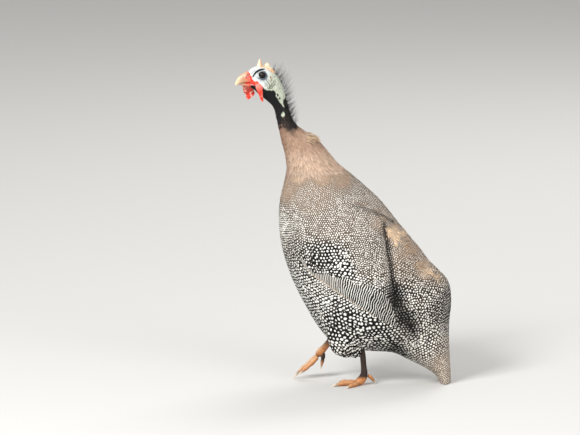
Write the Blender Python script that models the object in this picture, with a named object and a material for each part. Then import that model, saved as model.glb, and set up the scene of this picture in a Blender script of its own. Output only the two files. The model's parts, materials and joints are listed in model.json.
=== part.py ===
"""A life-size helmeted guineafowl in mid stride, as a still model in solid pieces.

The bird faces -Y and +Z is up. Lengths in the tables are millimetres. The body is one loft through
named stations, from the root of the bill to the end of the tail, parted by thin gaps into head, neck,
trunk and tail. It stands on its left foot, the toes of its right foot and the end of its tail.
"""

import math

import bmesh
import bpy
from mathutils import Matrix, Vector
from mathutils.bvhtree import BVHTree

MM = 0.001
GAP = 0.3  # between neighbouring pieces, as a cut would leave
WELD = 1e-6

# Stations of the body: name, dorsal point (y, z), ventral point (y, z), half width.
BODY_STATIONS = (
    ("bill_root", (-166.2, 489.6), (-163.0, 464.6), 6.8),
    ("brow", (-160.4, 493.9), (-157.6, 460.6), 9.8),
    ("crown", (-153.6, 496.4), (-152.4, 455.4), 12.0),
    ("eye", (-145.6, 496.0), (-147.4, 450.6), 13.3),
    ("ear", (-136.2, 492.2), (-142.8, 447.2), 13.8),
    ("nape_top", (-127.2, 486.6), (-137.6, 443.0), 13.4),
    ("nape", (-119.6, 478.4), (-132.6, 438.6), 12.9),
    ("nape_low", (-113.6, 467.0), (-128.4, 434.0), 12.2),
    ("neck_top", (-109.0, 455.0), (-125.6, 429.0), 11.4),
    ("neck_high", (-105.6, 440.0), (-123.6, 423.0), 10.6),
    ("neck_middle", (-102.0, 427.0), (-122.0, 415.5), 10.8),
    ("collar", (-94.5, 408.5), (-119.6, 404.8), 13.2),
    ("cape_high", (-79.5, 395.6), (-116.7, 389.9), 18.5),
    ("cape_middle", (-60.5, 383.6), (-113.7, 375.8), 26.0),
    ("cape_low", (-43.4, 365.2), (-109.3, 358.5), 34.0),
    ("neck_base", (-26.4, 345.0), (-107.0, 336.6), 43.5),
    ("shoulder", (-4.7, 327.1), (-110.8, 314.6), 56.0),
    ("breast_high", (18.6, 306.7), (-117.2, 286.3), 69.0),
    ("breast", (40.3, 286.3), (-118.8, 251.8), 79.0),
    ("girth_front", (60.5, 261.2), (-113.8, 212.6), 86.0),
    ("girth", (79.6, 236.9), (-100.4, 168.7), 89.0),
    ("girth_back", (99.0, 214.2), (-79.4, 124.7), 89.5),
    ("belly", (116.6, 191.0), (-54.8, 84.0), 86.0),
    ("vent", (131.8, 175.9), (-28.0, 58.5), 79.0),
    ("rump", (145.7, 159.3), (16.0, 50.0), 69.0),
    ("rump_low", (150.3, 132.6), (57.4, 46.8), 57.0),
    ("tail_root", (147.2, 90.2), (87.8, 33.2), 44.0),
    ("tail_middle", (148.0, 47.9), (113.2, 20.4), 34.5),
    ("tail_low", (149.4, 19.8), (126.6, 9.6), 29.0),
    ("tail_tip", (149.4, 0.0), (132.4, 0.0), 25.0),
)
STATION = {row[0]: index for index, row in enumerate(BODY_STATIONS)}

# Where the loft is parted, with each piece's rings and segments.
BODY_PARTS = (
    ("head", "bill_root", "neck_top", 11, 18),
    ("neck_upper", "neck_top", "collar", 4, 18),
    ("neck_lower", "collar", "shoulder", 7, 24),
    ("trunk", "shoulder", "rump_low", 12, 32),
    ("tail", "rump_low", "tail_tip", 6, 28),
)

# The head looks a little to the bird's left. The turn grows along the neck and pivots on its axis.
HEAD_TURN = math.radians(12)
TURN_PIVOT_Y = -112.0
TURN_STARTS, TURN_ENDS = "cape_middle", "nape_low"

# Folded wing: upper and lower edge (y, z) at each step from the shoulder to the tip.
WING_EDGES = (
    ((-84.0, 297.0), (-97.0, 257.0)),
    ((-57.0, 303.0), (-97.0, 221.0)),
    ((-23.0, 299.0), (-80.0, 187.0)),
    ((11.0, 288.0), (-51.0, 166.0)),
    ((41.0, 261.0), (-15.5, 143.0)),
    ((49.0, 211.0), (20.0, 123.0)),
    ((57.0, 157.0), (49.0, 106.0)),
    ((66.0, 117.0), (64.0, 98.0)),
)
WING_PROUD, WING_EDGE_PROUD, WING_DEPTH = 7.0, 2.0, 9.0
WING_STEPS, WING_ACROSS = 11, 6

# Bill: culmen and lower edge (y, z) and half width, from the face to the tip.
BILL_UPPER = (
    ((-166.6, 489.3), (-164.2, 471.0), 6.4),
    ((-172.0, 487.4), (-170.0, 471.3), 5.8),
    ((-177.6, 484.2), (-175.6, 470.6), 4.8),
    ((-182.3, 480.0), (-180.2, 469.5), 3.6),
    ((-185.4, 475.4), (-183.6, 468.4), 2.3),
    ((-187.0, 470.4), (-185.4, 467.4), 1.1),
    ((-186.8, 467.0), (-186.0, 466.7), 0.5),
)
BILL_LOWER = (
    ((-164.1, 470.4), (-163.5, 465.2), 5.9),
    ((-170.2, 470.6), (-169.6, 466.0), 4.9),
    ((-176.0, 469.9), (-175.6, 467.0), 3.4),
    ((-181.0, 468.8), (-180.7, 468.0), 1.2),
)
BILL_KEEL = 0.32  # height of the widest line, as a share of the bill's height

# Casque: side outline (y, z) of the bony helmet, a front spike and a lower ridge behind it.
CASQUE_OUTLINE = (
    (-154.6, 493.0),
    (-152.8, 496.9),
    (-151.2, 502.0),
    (-149.3, 506.8),
    (-147.6, 507.4),
    (-146.1, 504.6),
    (-145.0, 498.6),
    (-142.5, 497.0),
    (-140.1, 499.0),
    (-138.2, 501.6),
    (-136.4, 501.7),
    (-133.0, 498.2),
    (-129.0, 492.6),
    (-125.4, 487.6),
    (-127.4, 484.2),
    (-135.4, 487.6),
    (-144.5, 490.8),
)
CASQUE_BASE_Z, CASQUE_TOP_Z = 493.0, 507.0
CASQUE_BASE_HALF, CASQUE_TOP_HALF = 4.6, 1.6
CASQUE_BEVEL = 0.9

EYE_CENTRE, EYE_RADIUS = (8.6, -146.9, 484.0), 5.6

# Tubes: centre line points (x, y, z), each with its half width and half thickness.
WATTLE_LEFT = (
    ((9.0, -156.4, 472.0), 2.9, 1.0),
    ((11.4, -153.2, 468.9), 4.7, 1.3),
    ((13.0, -151.5, 464.6), 5.4, 1.5),
    ((14.0, -150.4, 458.9), 4.2, 1.5),
    ((14.2, -149.6, 454.6), 3.3, 1.4),
    ((14.2, -148.8, 449.8), 2.6, 1.2),
    ((14.0, -147.2, 445.4), 1.9, 1.1),
    ((13.8, -146.2, 442.6), 1.0, 0.9),
)
WATTLE_RIGHT = (
    ((-6.6, -160.2, 471.0), 3.2, 1.0),
    ((-9.2, -166.6, 466.4), 5.8, 1.4),
    ((-11.0, -166.6, 462.4), 6.6, 1.5),
    ((-12.8, -163.0, 457.0), 8.0, 1.5),
    ((-13.8, -161.3, 453.0), 7.3, 1.5),
    ((-14.2, -162.9, 448.4), 4.9, 1.4),
    ((-14.2, -163.9, 444.8), 2.9, 1.1),
    ((-14.0, -164.1, 442.4), 1.2, 0.9),
)
WATTLE_LEFT_FACES, WATTLE_RIGHT_FACES = (0.96, 0.28, 0), (0.97, -0.22, 0)

THIGH_LEFT = (
    ((46.0, -3.0, 136.0), 34.0, 22.0),
    ((45.0, -5.0, 106.0), 36.0, 22.0),
    ((42.0, -8.0, 84.0), 36.0, 19.0),
    ((38.0, -8.0, 67.0), 32.0, 14.5),
    ((34.5, -5.0, 57.0), 24.0, 10.0),
    ((32.0, -2.0, 50.5), 15.0, 6.6),
)
THIGH_RIGHT = (
    ((-46.0, 0.0, 136.0), 34.0, 22.0),
    ((-44.0, -8.0, 106.0), 35.0, 22.0),
    ((-38.0, -19.0, 85.0), 28.0, 18.0),
    ((-32.0, -28.0, 71.0), 19.0, 12.0),
    ((-29.0, -34.0, 61.0), 11.0, 8.0),
)
SHANK_LEFT = (
    ((28.6, 10.5, 60.0), 5.2, 4.4),
    ((28.3, 12.2, 46.0), 5.2, 4.4),
    ((28.0, 13.6, 30.0), 5.0, 4.3),
    ((27.8, 14.4, 19.0), 5.8, 5.2),
    ((27.4, 11.8, 10.5), 6.4, 6.4),
    ((27.6, 6.6, 5.4), 6.4, 6.4),
    ((27.8, 1.2, 3.6), 4.2, 5.4),
)
SHANK_RIGHT = (
    ((-27.8, -27.0, 73.0), 4.4, 4.8),
    ((-28.0, -37.0, 61.0), 4.4, 4.8),
    ((-28.1, -45.5, 50.8), 4.8, 5.0),
    ((-28.3, -51.0, 44.5), 5.8, 5.8),
    ((-28.5, -55.0, 40.0), 5.8, 5.8),
    ((-28.6, -58.5, 36.0), 4.6, 4.6),
)

# Toes: each runs through its points to the claw's root, then the claw's tip. Half width at root and end.
TOES = (
    ("toe_left_middle", ((28.0, -0.5, 4.6), (31.5, -10.5, 3.3), (36.0, -20.5, 3.2), (39.5, -27.5, 2.5)),
     (45.0, -37.5, 0.0), 4.0, 2.7),
    ("toe_left_inner", ((23.5, 3.0, 4.4), (18.5, -7.0, 3.1), (14.0, -16.5, 3.0), (12.0, -21.0, 2.3)),
     (8.8, -28.5, 0.0), 3.6, 2.5),
    ("toe_left_outer", ((33.0, 5.5, 4.4), (42.0, -0.5, 3.1), (50.5, -6.0, 3.0), (55.0, -9.5, 2.3)),
     (61.5, -14.5, 0.0), 3.6, 2.5),
    ("toe_left_hind", ((25.6, 20.5, 15.0), (23.5, 25.5, 10.6), (21.5, 29.0, 5.8)),
     (19.5, 33.5, 0.0), 3.0, 2.1),
    ("toe_right_middle", ((-28.6, -58.5, 35.9), (-28.9, -67.3, 26.8), (-29.2, -78.5, 17.4), (-29.4, -86.4, 10.4)),
     (-29.7, -96.2, -0.2), 4.3, 3.0),
    ("toe_right_inner", ((-22.8, -57.5, 35.0), (-20.4, -66.5, 26.0), (-19.2, -75.5, 18.2), (-18.8, -80.5, 13.6)),
     (-18.6, -88.0, 6.6), 3.8, 2.7),
    ("toe_right_outer", ((-34.4, -57.0, 36.0), (-37.2, -65.5, 28.0), (-38.8, -74.0, 19.8), (-39.4, -79.5, 14.8)),
     (-39.8, -87.2, 7.5), 3.8, 2.7),
    ("toe_right_hind", ((-27.6, -48.6, 40.0), (-26.9, -49.6, 31.0), (-26.4, -51.4, 21.5)),
     (-26.2, -53.2, 13.4), 3.6, 2.2),
)
TOE_PAD_SWELL, TOE_PADS = 0.10, 3
CLAW_ROOT_SHARE, CLAW_TIP = 0.80, 0.55  # of the toe's end, and the tip's half width
CLAW_SUNK = 3.0  # how far a claw starts inside its toe

# Base colour, roughness and metallic value of each finish.
FINISHES = {
    "facial_skin": ((0.80, 0.86, 0.84), 0.55, 0.0),
    "bare_neck": ((0.03, 0.03, 0.035), 0.60, 0.0),
    "cape": ((0.42, 0.30, 0.22), 0.85, 0.0),
    "plumage": ((0.20, 0.18, 0.17), 0.80, 0.0),
    "casque_horn": ((0.62, 0.36, 0.17), 0.50, 0.0),
    "bill_horn": ((0.80, 0.55, 0.36), 0.40, 0.0),
    "wattle": ((0.85, 0.10, 0.06), 0.50, 0.0),
    "eyeball": ((0.02, 0.015, 0.01), 0.08, 0.0),
    "leg_scale": ((0.06, 0.05, 0.05), 0.55, 0.0),
    "toe_scale": ((0.60, 0.34, 0.18), 0.55, 0.0),
    "claw_horn": ((0.45, 0.36, 0.28), 0.45, 0.0),
}


def clear_scene():
    for obj in list(bpy.data.objects):
        bpy.data.objects.remove(obj)


def finish_material(finish):
    """The material of one finish, made once."""
    material = bpy.data.materials.get(finish)
    if material is None:
        colour, roughness, metallic = FINISHES[finish]
        material = bpy.data.materials.new(finish)
        material.use_nodes = True
        shader = material.node_tree.nodes["Principled BSDF"]
        shader.inputs["Base Color"].default_value = (*colour, 1)
        shader.inputs["Roughness"].default_value = roughness
        shader.inputs["Metallic"].default_value = metallic
    return material


def add_piece(name, bm, finish, bird):
    """Stores a bmesh in millimetres as a named object in metres, under the bird's empty."""
    bmesh.ops.triangulate(bm, faces=bm.faces)
    bmesh.ops.recalc_face_normals(bm, faces=bm.faces)
    bmesh.ops.scale(bm, vec=(MM, MM, MM), verts=bm.verts)
    mesh = bpy.data.meshes.new(name)
    bm.to_mesh(mesh)
    bm.free()
    mesh.shade_smooth()
    mesh.set_sharp_from_angle(angle=math.radians(50))
    mesh.materials.append(finish_material(finish))
    piece = bpy.data.objects.new(name, mesh)
    bpy.context.scene.collection.objects.link(piece)
    piece.parent = bird
    return piece


def flat_values(row):
    """A table row as one list of numbers, without its name."""
    values = []
    for entry in row:
        if isinstance(entry, (tuple, list)):
            values.extend(flat_values(entry))
        elif not isinstance(entry, str):
            values.append(entry)
    return values


def along(rows, t):
    """The rows' numbers at step t, on a smooth curve through every row."""
    last = len(rows) - 1
    i = min(int(t), last - 1)
    f = t - i
    before, a, b, after = (
        flat_values(rows[min(max(k, 0), last)]) for k in (i - 1, i, i + 1, i + 2)
    )
    return [
        0.5 * (2 * q + (r - p) * f + (2 * p - 5 * q + 4 * r - s) * f * f + (3 * q - p - 3 * r + s) * f ** 3)
        for p, q, r, s in zip(before, a, b, after)
    ]


def smooth_step(value, start, end):
    share = min(max((value - start) / (end - start), 0), 1)
    return share * share * (3 - 2 * share)


def turned(point, share=1.0):
    """The point after the head's turn about the neck's upright axis."""
    pivot = Vector((0, TURN_PIVOT_Y, 0))
    return Matrix.Rotation(HEAD_TURN * share, 3, "Z") @ (Vector(point) - pivot) + pivot


def section(values, angle, keel=0.5):
    """A point of an upright oval: values are its top (y, z), bottom (y, z) and half width."""
    top_y, top_z, bottom_y, bottom_z, half = values
    height = math.cos(angle)
    share = keel + (1 - keel) * height if height > 0 else keel * (1 + height)
    return Vector(
        (
            half * math.sin(angle),
            bottom_y + (top_y - bottom_y) * share,
            bottom_z + (top_z - bottom_z) * share,
        )
    )


def wrapped_grid(rings, segments, place):
    """A closed tube: a grid whose points go to place(step from 0 to 1, angle), welded along its seam."""
    bm = bmesh.new()
    bmesh.ops.create_grid(bm, x_segments=rings, y_segments=segments, size=0.5)
    for vertex in bm.verts:
        vertex.co = place(vertex.co.x + 0.5, (vertex.co.y + 0.5) * 2 * math.pi)
    bmesh.ops.remove_doubles(bm, verts=bm.verts, dist=WELD / MM)
    rims = [edge for edge in bm.edges if edge.is_boundary]
    bmesh.ops.holes_fill(bm, edges=rims, sides=0)
    return bm


def body_point(t, angle):
    """A point of the whole body's surface at station t."""
    share = 1 - smooth_step(t, STATION[TURN_ENDS], STATION[TURN_STARTS])
    return turned(section(along(BODY_STATIONS, t), angle), share)


def ring_normal(t):
    """The direction from head to tail that a ring at station t faces."""
    values = along(BODY_STATIONS, t)
    across = Vector((0, values[0] - values[2], values[1] - values[3]))
    return Vector((0, across.z, -across.y)).normalized()


def add_body_part(name, first, last, rings, segments, bird):
    start, end = STATION[first], STATION[last]

    def place(step, angle):
        point = body_point(start + (end - start) * step, angle)
        if step < WELD and name != "head":
            point += ring_normal(start) * GAP / 2
        if step > 1 - WELD and name != "tail":
            point -= ring_normal(end) * GAP / 2
        return point

    finish = {"head": "facial_skin", "neck_upper": "bare_neck", "neck_lower": "cape"}.get(name, "plumage")
    return add_piece(name, wrapped_grid(rings, segments, place), finish, bird)


def cut_for(host, piece, gap=GAP):
    """Cuts the piece's shape, grown by the gap, out of the host."""
    mesh = piece.data.copy()
    offsets = [normal.vector * gap * MM for normal in mesh.vertex_normals]
    for vertex, offset in zip(mesh.vertices, offsets):
        vertex.co += offset
    cutter = bpy.data.objects.new(f"cutter_{piece.name}_{host.name}", mesh)
    bpy.context.scene.collection.objects.link(cutter)
    cutter.parent = piece.parent
    cutter.hide_render = True
    cutter.display_type = "WIRE"
    seat = host.modifiers.new(f"seat_{piece.name}", "BOOLEAN")
    seat.operation = "DIFFERENCE"
    seat.solver = "EXACT"
    seat.object = cutter


def add_tube(name, points, finish, bird, rings, segments, facing=(1, 0, 0), swell=0.0, ends=(0.15, 0.15)):
    """A tube through (centre, half width, half thickness) points, with rounded ends and no part below the floor.

    Its width runs across its line and across facing, which its thickness follows.
    """
    last = len(points) - 1

    def place(step, angle):
        t = last * step
        x, y, z, half_width, half_thickness = along(points, t)
        ahead = along(points, min(t + 0.05, last))
        behind = along(points, max(t - 0.05, 0))
        line = (Vector(ahead[:3]) - Vector(behind[:3])).normalized()
        thick = (Vector(facing) - line * line.dot(Vector(facing))).normalized()
        wide = line.cross(thick)
        rounding = min(1.0, step / ends[0], (1 - step) / ends[1])
        size = math.sqrt(1 - (1 - rounding) ** 2 * 0.94)
        size *= 1 + swell * math.cos(2 * math.pi * TOE_PADS * step)
        point = Vector((x, y, z))
        point += thick * half_thickness * size * math.cos(angle) + wide * half_width * size * math.sin(angle)
        point.z = max(point.z, 0)
        return point

    return add_piece(name, wrapped_grid(rings, segments, place), finish, bird)


def add_wing(name, side, trunk_surface, bird):
    """A folded wing: a curved slab over the trunk's side, proud in the middle and let into it below."""
    bm = bmesh.new()
    bmesh.ops.create_grid(bm, x_segments=WING_STEPS, y_segments=WING_ACROSS, size=0.5)
    for vertex in bm.verts:
        step, across = vertex.co.x + 0.5, vertex.co.y + 0.5
        upper_y, upper_z, lower_y, lower_z = along(WING_EDGES, step * (len(WING_EDGES) - 1))
        y = lower_y + (upper_y - lower_y) * across
        z = lower_z + (upper_z - lower_z) * across
        hit, _, _, _ = trunk_surface.ray_cast(Vector((200, y, z)) * MM, Vector((-1, 0, 0)))
        bulge = math.sin(math.pi * across) * math.sin(math.pi * min(max(step, 0.0), 1.0)) ** 0.5
        proud = WING_EDGE_PROUD + (WING_PROUD - WING_EDGE_PROUD) * bulge
        vertex.co = Vector((side * (hit.x / MM + proud), y, z))
    bmesh.ops.recalc_face_normals(bm, faces=bm.faces)
    outward = sum(face.normal.x * face.calc_area() for face in bm.faces) * side
    if outward < 0:
        bmesh.ops.reverse_faces(bm, faces=bm.faces)
    bmesh.ops.solidify(bm, geom=bm.faces[:], thickness=WING_DEPTH)
    return add_piece(name, bm, "plumage", bird)


def add_bill(name, rows, bird):
    last = len(rows) - 1

    def place(step, angle):
        return turned(section(along(rows, last * step), angle, BILL_KEEL))

    return add_piece(name, wrapped_grid(6, 12, place), "bill_horn", bird)


def add_casque(bird):
    """The helmet: its side outline extruded across the head, thinner towards the top."""
    bm = bmesh.new()
    outline = [bm.verts.new((-1, y, z)) for y, z in CASQUE_OUTLINE]
    face = bm.faces.new(outline)
    far_side = bmesh.ops.extrude_face_region(bm, geom=[face])["geom"]
    for element in far_side:
        if isinstance(element, bmesh.types.BMVert):
            element.co.x = 1
    for vertex in bm.verts:
        rise = smooth_step(vertex.co.z, CASQUE_BASE_Z, CASQUE_TOP_Z)
        vertex.co.x *= CASQUE_BASE_HALF + (CASQUE_TOP_HALF - CASQUE_BASE_HALF) * rise
    rims = [edge for edge in bm.edges if edge.verts[0].co.x * edge.verts[1].co.x > 0]
    bmesh.ops.bevel(bm, geom=rims, offset=CASQUE_BEVEL, segments=2, profile=0.5, affect="EDGES", material=-1)
    for vertex in bm.verts:
        vertex.co = turned(vertex.co)
    return add_piece("casque", bm, "casque_horn", bird)


def add_eye(name, side, bird):
    bm = bmesh.new()
    bmesh.ops.create_uvsphere(bm, u_segments=12, v_segments=8, radius=EYE_RADIUS)
    x, y, z = EYE_CENTRE
    bmesh.ops.rotate(bm, verts=bm.verts, cent=(0, 0, 0), matrix=Matrix.Rotation(math.pi / 2, 3, "Y"))
    bmesh.ops.translate(bm, verts=bm.verts, vec=turned((side * x, y, z)))
    return add_piece(name, bm, "eyeball", bird)


def add_wattle(name, points, faces, bird):
    turned_points = [(tuple(turned(centre)), width, thickness) for centre, width, thickness in points]
    return add_tube(name, turned_points, "wattle", bird, 8, 10, facing=faces)


def add_toe(name, path, tip, root, end, bird):
    """A toe along its path, and the claw that is let into its end. Returns both."""
    last = len(path) - 1
    points = [(point, root + (end - root) * i / last, root + (end - root) * i / last)
              for i, point in enumerate(path)]
    toe = add_tube(name, points, "toe_scale", bird, 8, 8, facing=(0, 0, 1), swell=TOE_PAD_SWELL)
    finish, claw_tip = Vector(path[-1]), Vector(tip)
    way = (claw_tip - finish).normalized()
    size = end * CLAW_ROOT_SHARE
    middle = finish.lerp(claw_tip, 0.45) + Vector((0, 0, size * 0.35))
    claw_points = [
        (tuple(finish - way * CLAW_SUNK), size * 0.8, size * 0.8),
        (tuple(finish), size, size),
        (tuple(middle), size * 0.75, size * 0.8),
        (tuple(claw_tip), CLAW_TIP, CLAW_TIP),
    ]
    claw = add_tube(name.replace("toe", "claw"), claw_points, "claw_horn", bird, 5, 7,
                    facing=(0, 0, 1), ends=(0.1, 0.05))
    return toe, claw


def add_head_pieces(head, bird):
    """Bill, casque, eyes and wattles, each let into the head where it grows from it."""
    add_bill("bill_upper", BILL_UPPER, bird)
    add_bill("bill_lower", BILL_LOWER, bird)
    pieces = [
        add_casque(bird),
        add_eye("eye_left", 1, bird),
        add_eye("eye_right", -1, bird),
        add_wattle("wattle_left", WATTLE_LEFT, WATTLE_LEFT_FACES, bird),
        add_wattle("wattle_right", WATTLE_RIGHT, WATTLE_RIGHT_FACES, bird),
    ]
    for piece in pieces:
        cut_for(head, piece)


def add_legs(trunk, bird):
    """Thighs let into the trunk, shanks into the thighs, and toes into the shanks."""
    for side, thigh_points, shank_points in (("left", THIGH_LEFT, SHANK_LEFT), ("right", THIGH_RIGHT, SHANK_RIGHT)):
        thigh = add_tube(f"thigh_{side}", thigh_points, "plumage", bird, 8, 16)
        shank = add_tube(f"shank_{side}", shank_points, "leg_scale", bird, 10, 10)
        cut_for(trunk, thigh)
        cut_for(trunk, shank)
        cut_for(thigh, shank)
        middle = None
        for name, path, tip, root, end in TOES:
            if side not in name:
                continue
            toe, claw = add_toe(name, path, tip, root, end, bird)
            cut_for(toe, shank)
            cut_for(toe, claw)
            if "middle" in name:
                middle = toe
            elif "hind" not in name:
                cut_for(toe, middle)


def surface_of(obj):
    """The object's surface, for finding where a line meets it."""
    bm = bmesh.new()
    bm.from_mesh(obj.data)
    surface = BVHTree.FromBMesh(bm)
    bm.free()
    return surface


def centre_over_origin(bird):
    """Puts the origin on the floor under the middle of the model's box."""
    bpy.context.view_layer.update()
    corners = [
        piece.matrix_world @ vertex.co
        for piece in bird.children
        if not piece.hide_render
        for vertex in piece.data.vertices
    ]
    for axis in (0, 1):
        values = [corner[axis] for corner in corners]
        bird.location[axis] = -(min(values) + max(values)) / 2
    bird.location.z = -min(corner.z for corner in corners)


def main():
    clear_scene()
    bird = bpy.data.objects.new("guineafowl", None)
    bpy.context.scene.collection.objects.link(bird)
    parts = {row[0]: add_body_part(*row, bird) for row in BODY_PARTS}
    trunk_surface = surface_of(parts["trunk"])
    for name, side in (("wing_left", 1), ("wing_right", -1)):
        cut_for(parts["trunk"], add_wing(name, side, trunk_surface, bird))
    add_head_pieces(parts["head"], bird)
    add_legs(parts["trunk"], bird)
    centre_over_origin(bird)


main()
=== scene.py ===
"""The finish of a life-size helmeted guineafowl: skin, horn, eyes and feathers round its solids.

The file is laid out as an add-on and is run as a script. The solids are loaded first and stay as they
are. Tables are millimetres in the bird's own lengths: it faces -Y, +X is its left and the floor is z 0.
The feathers are closed mesh vanes, laid over smooth sheets that repeat the body's loft.
"""

import json
import math
from functools import lru_cache
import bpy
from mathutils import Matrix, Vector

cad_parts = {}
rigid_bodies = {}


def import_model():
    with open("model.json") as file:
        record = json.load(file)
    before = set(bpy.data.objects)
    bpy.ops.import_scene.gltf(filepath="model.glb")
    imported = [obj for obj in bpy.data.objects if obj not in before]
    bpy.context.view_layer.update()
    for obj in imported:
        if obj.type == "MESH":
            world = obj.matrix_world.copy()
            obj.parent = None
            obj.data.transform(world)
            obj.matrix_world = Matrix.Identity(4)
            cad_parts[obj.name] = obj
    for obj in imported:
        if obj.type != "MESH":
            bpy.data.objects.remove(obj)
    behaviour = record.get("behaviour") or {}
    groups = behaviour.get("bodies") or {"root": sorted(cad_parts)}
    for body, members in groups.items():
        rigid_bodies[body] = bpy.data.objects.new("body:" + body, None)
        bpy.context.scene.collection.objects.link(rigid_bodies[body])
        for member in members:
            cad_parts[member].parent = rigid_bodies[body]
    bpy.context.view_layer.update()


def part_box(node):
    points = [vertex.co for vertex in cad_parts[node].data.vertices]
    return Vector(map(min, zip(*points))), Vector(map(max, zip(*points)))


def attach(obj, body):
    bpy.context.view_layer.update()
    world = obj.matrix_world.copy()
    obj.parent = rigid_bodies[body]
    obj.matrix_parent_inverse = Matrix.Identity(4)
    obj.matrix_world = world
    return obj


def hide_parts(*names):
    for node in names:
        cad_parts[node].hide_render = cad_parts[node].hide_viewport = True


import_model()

from types import SimpleNamespace

import bmesh
import bpy
import numpy as np
from bpy.props import FloatProperty, FloatVectorProperty, IntProperty, PointerProperty
from bpy.types import Operator, Panel, PropertyGroup
from mathutils import Matrix, Vector
from mathutils.bvhtree import BVHTree
from mathutils.kdtree import KDTree

bl_info = {
    "name": "Helmeted guineafowl",
    "version": (1, 0, 0),
    "blender": (4, 5, 0),
    "location": "3D View > Sidebar > Guineafowl",
    "description": "Skin, horn, eyes and feathers of a life-size helmeted guineafowl",
    "category": "Object",
}

MM = 0.001
BODY_NAME = "root"
ROUND = (0, 2 * math.pi)
PAST_ROUND = (-0.5, 2 * math.pi + 0.5)  # angles of a closed sheet, which goes on past its seam
FLOOR_GAP = 0.15  # of feathers and scales
LIGHT_AIM = Vector((0, 0, 0.25))

# Stations of the body: name, dorsal point (y, z), ventral point (y, z), half width.
BODY_STATIONS = (
    ("bill_root", (-166.2, 489.6), (-163.0, 464.6), 6.8),
    ("brow", (-160.4, 493.9), (-157.6, 460.6), 9.8),
    ("crown", (-153.6, 496.4), (-152.4, 455.4), 12.0),
    ("eye", (-145.6, 496.0), (-147.4, 450.6), 13.3),
    ("ear", (-136.2, 492.2), (-142.8, 447.2), 13.8),
    ("nape_top", (-127.2, 486.6), (-137.6, 443.0), 13.4),
    ("nape", (-119.6, 478.4), (-132.6, 438.6), 12.9),
    ("nape_low", (-113.6, 467.0), (-128.4, 434.0), 12.2),
    ("neck_top", (-109.0, 455.0), (-125.6, 429.0), 11.4),
    ("neck_high", (-105.6, 440.0), (-123.6, 423.0), 10.6),
    ("neck_middle", (-102.0, 427.0), (-122.0, 415.5), 10.8),
    ("collar", (-94.5, 408.5), (-119.6, 404.8), 13.2),
    ("cape_high", (-79.5, 395.6), (-116.7, 389.9), 18.5),
    ("cape_middle", (-60.5, 383.6), (-113.7, 375.8), 26.0),
    ("cape_low", (-43.4, 365.2), (-109.3, 358.5), 34.0),
    ("neck_base", (-26.4, 345.0), (-107.0, 336.6), 43.5),
    ("shoulder", (-4.7, 327.1), (-110.8, 314.6), 56.0),
    ("breast_high", (18.6, 306.7), (-117.2, 286.3), 69.0),
    ("breast", (40.3, 286.3), (-118.8, 251.8), 79.0),
    ("girth_front", (60.5, 261.2), (-113.8, 212.6), 86.0),
    ("girth", (79.6, 236.9), (-100.4, 168.7), 89.0),
    ("girth_back", (99.0, 214.2), (-79.4, 124.7), 89.5),
    ("belly", (116.6, 191.0), (-54.8, 84.0), 86.0),
    ("vent", (131.8, 175.9), (-28.0, 58.5), 79.0),
    ("rump", (145.7, 159.3), (16.0, 50.0), 69.0),
    ("rump_low", (150.3, 132.6), (57.4, 46.8), 57.0),
    ("tail_root", (147.2, 90.2), (87.8, 33.2), 44.0),
    ("tail_middle", (148.0, 47.9), (113.2, 20.4), 34.5),
    ("tail_low", (149.4, 19.8), (126.6, 9.6), 29.0),
    ("tail_tip", (149.4, 0.0), (132.4, 0.0), 25.0),
)
STATION = {row[0]: index for index, row in enumerate(BODY_STATIONS)}
SKIN_END = STATION["tail_root"] + 1.6
COATED_GRAIN = 6.0  # distance of the skin's rings under the coat
SKIN_SPOT_COLUMNS, SKIN_SPOT_ROW = 96, 5.0
HEAD_TURN = math.radians(12)
TURN_PIVOT_Y = -112.0

# Folded wing: upper and lower edge (y, z) at each step from the shoulder to the tip.
WING_EDGES = (
    ((-84.0, 297.0), (-97.0, 257.0)),
    ((-57.0, 303.0), (-97.0, 221.0)),
    ((-23.0, 299.0), (-80.0, 187.0)),
    ((11.0, 288.0), (-51.0, 166.0)),
    ((41.0, 261.0), (-15.5, 143.0)),
    ((49.0, 211.0), (20.0, 123.0)),
    ((57.0, 157.0), (49.0, 106.0)),
    ((66.0, 117.0), (64.0, 98.0)),
)
WING_PROUD, WING_EDGE_PROUD, WING_REAR_PROUD = 7.0, 2.0, 3.0
# How far the coverts reach, as shares of the way from the lower to the upper edge and to the tip.
COVERT_LIMITS = ((0, 0.08, 0.14, 0.27, 0.33, 0.43, 0.6, 1), (0.18, 0.32, 0.44, 0.57, 0.64, 0.71, 0.80, 0.94))
HIDDEN_DEPTH = 12  # from this far inside the wing's outline, the body needs no feathers
BAR_PITCH = 2.6
VANE_THICKNESS = 0.2
PATCH_SHARE = 0.92  # a vane's patch on the unwrap, as a share of the vane
ROW_HEIGHT = 0.87  # of the spots' lattice, as a share of the spacing along a row
PLAIN_CELL = (0, ROW_HEIGHT, 0)
NECK_DOWN_COLUMNS, TAIL_FEATHERS = 40, 22
# The scapulars' edge, painted paler as a highlight with painted shade a drop below it, and the furrow behind
# the wing, sunk into the coat and painted darker as shade
SCAPULAR_EDGE, SCAPULAR_SHADE_DROP = ((-2, 291), (14, 287), (30, 279), (46, 269), (60, 259)), 3.4
WING_FURROW = ((44, 256), (53, 208), (59, 165), (66, 138), (76, 112), (88, 92))

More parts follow.
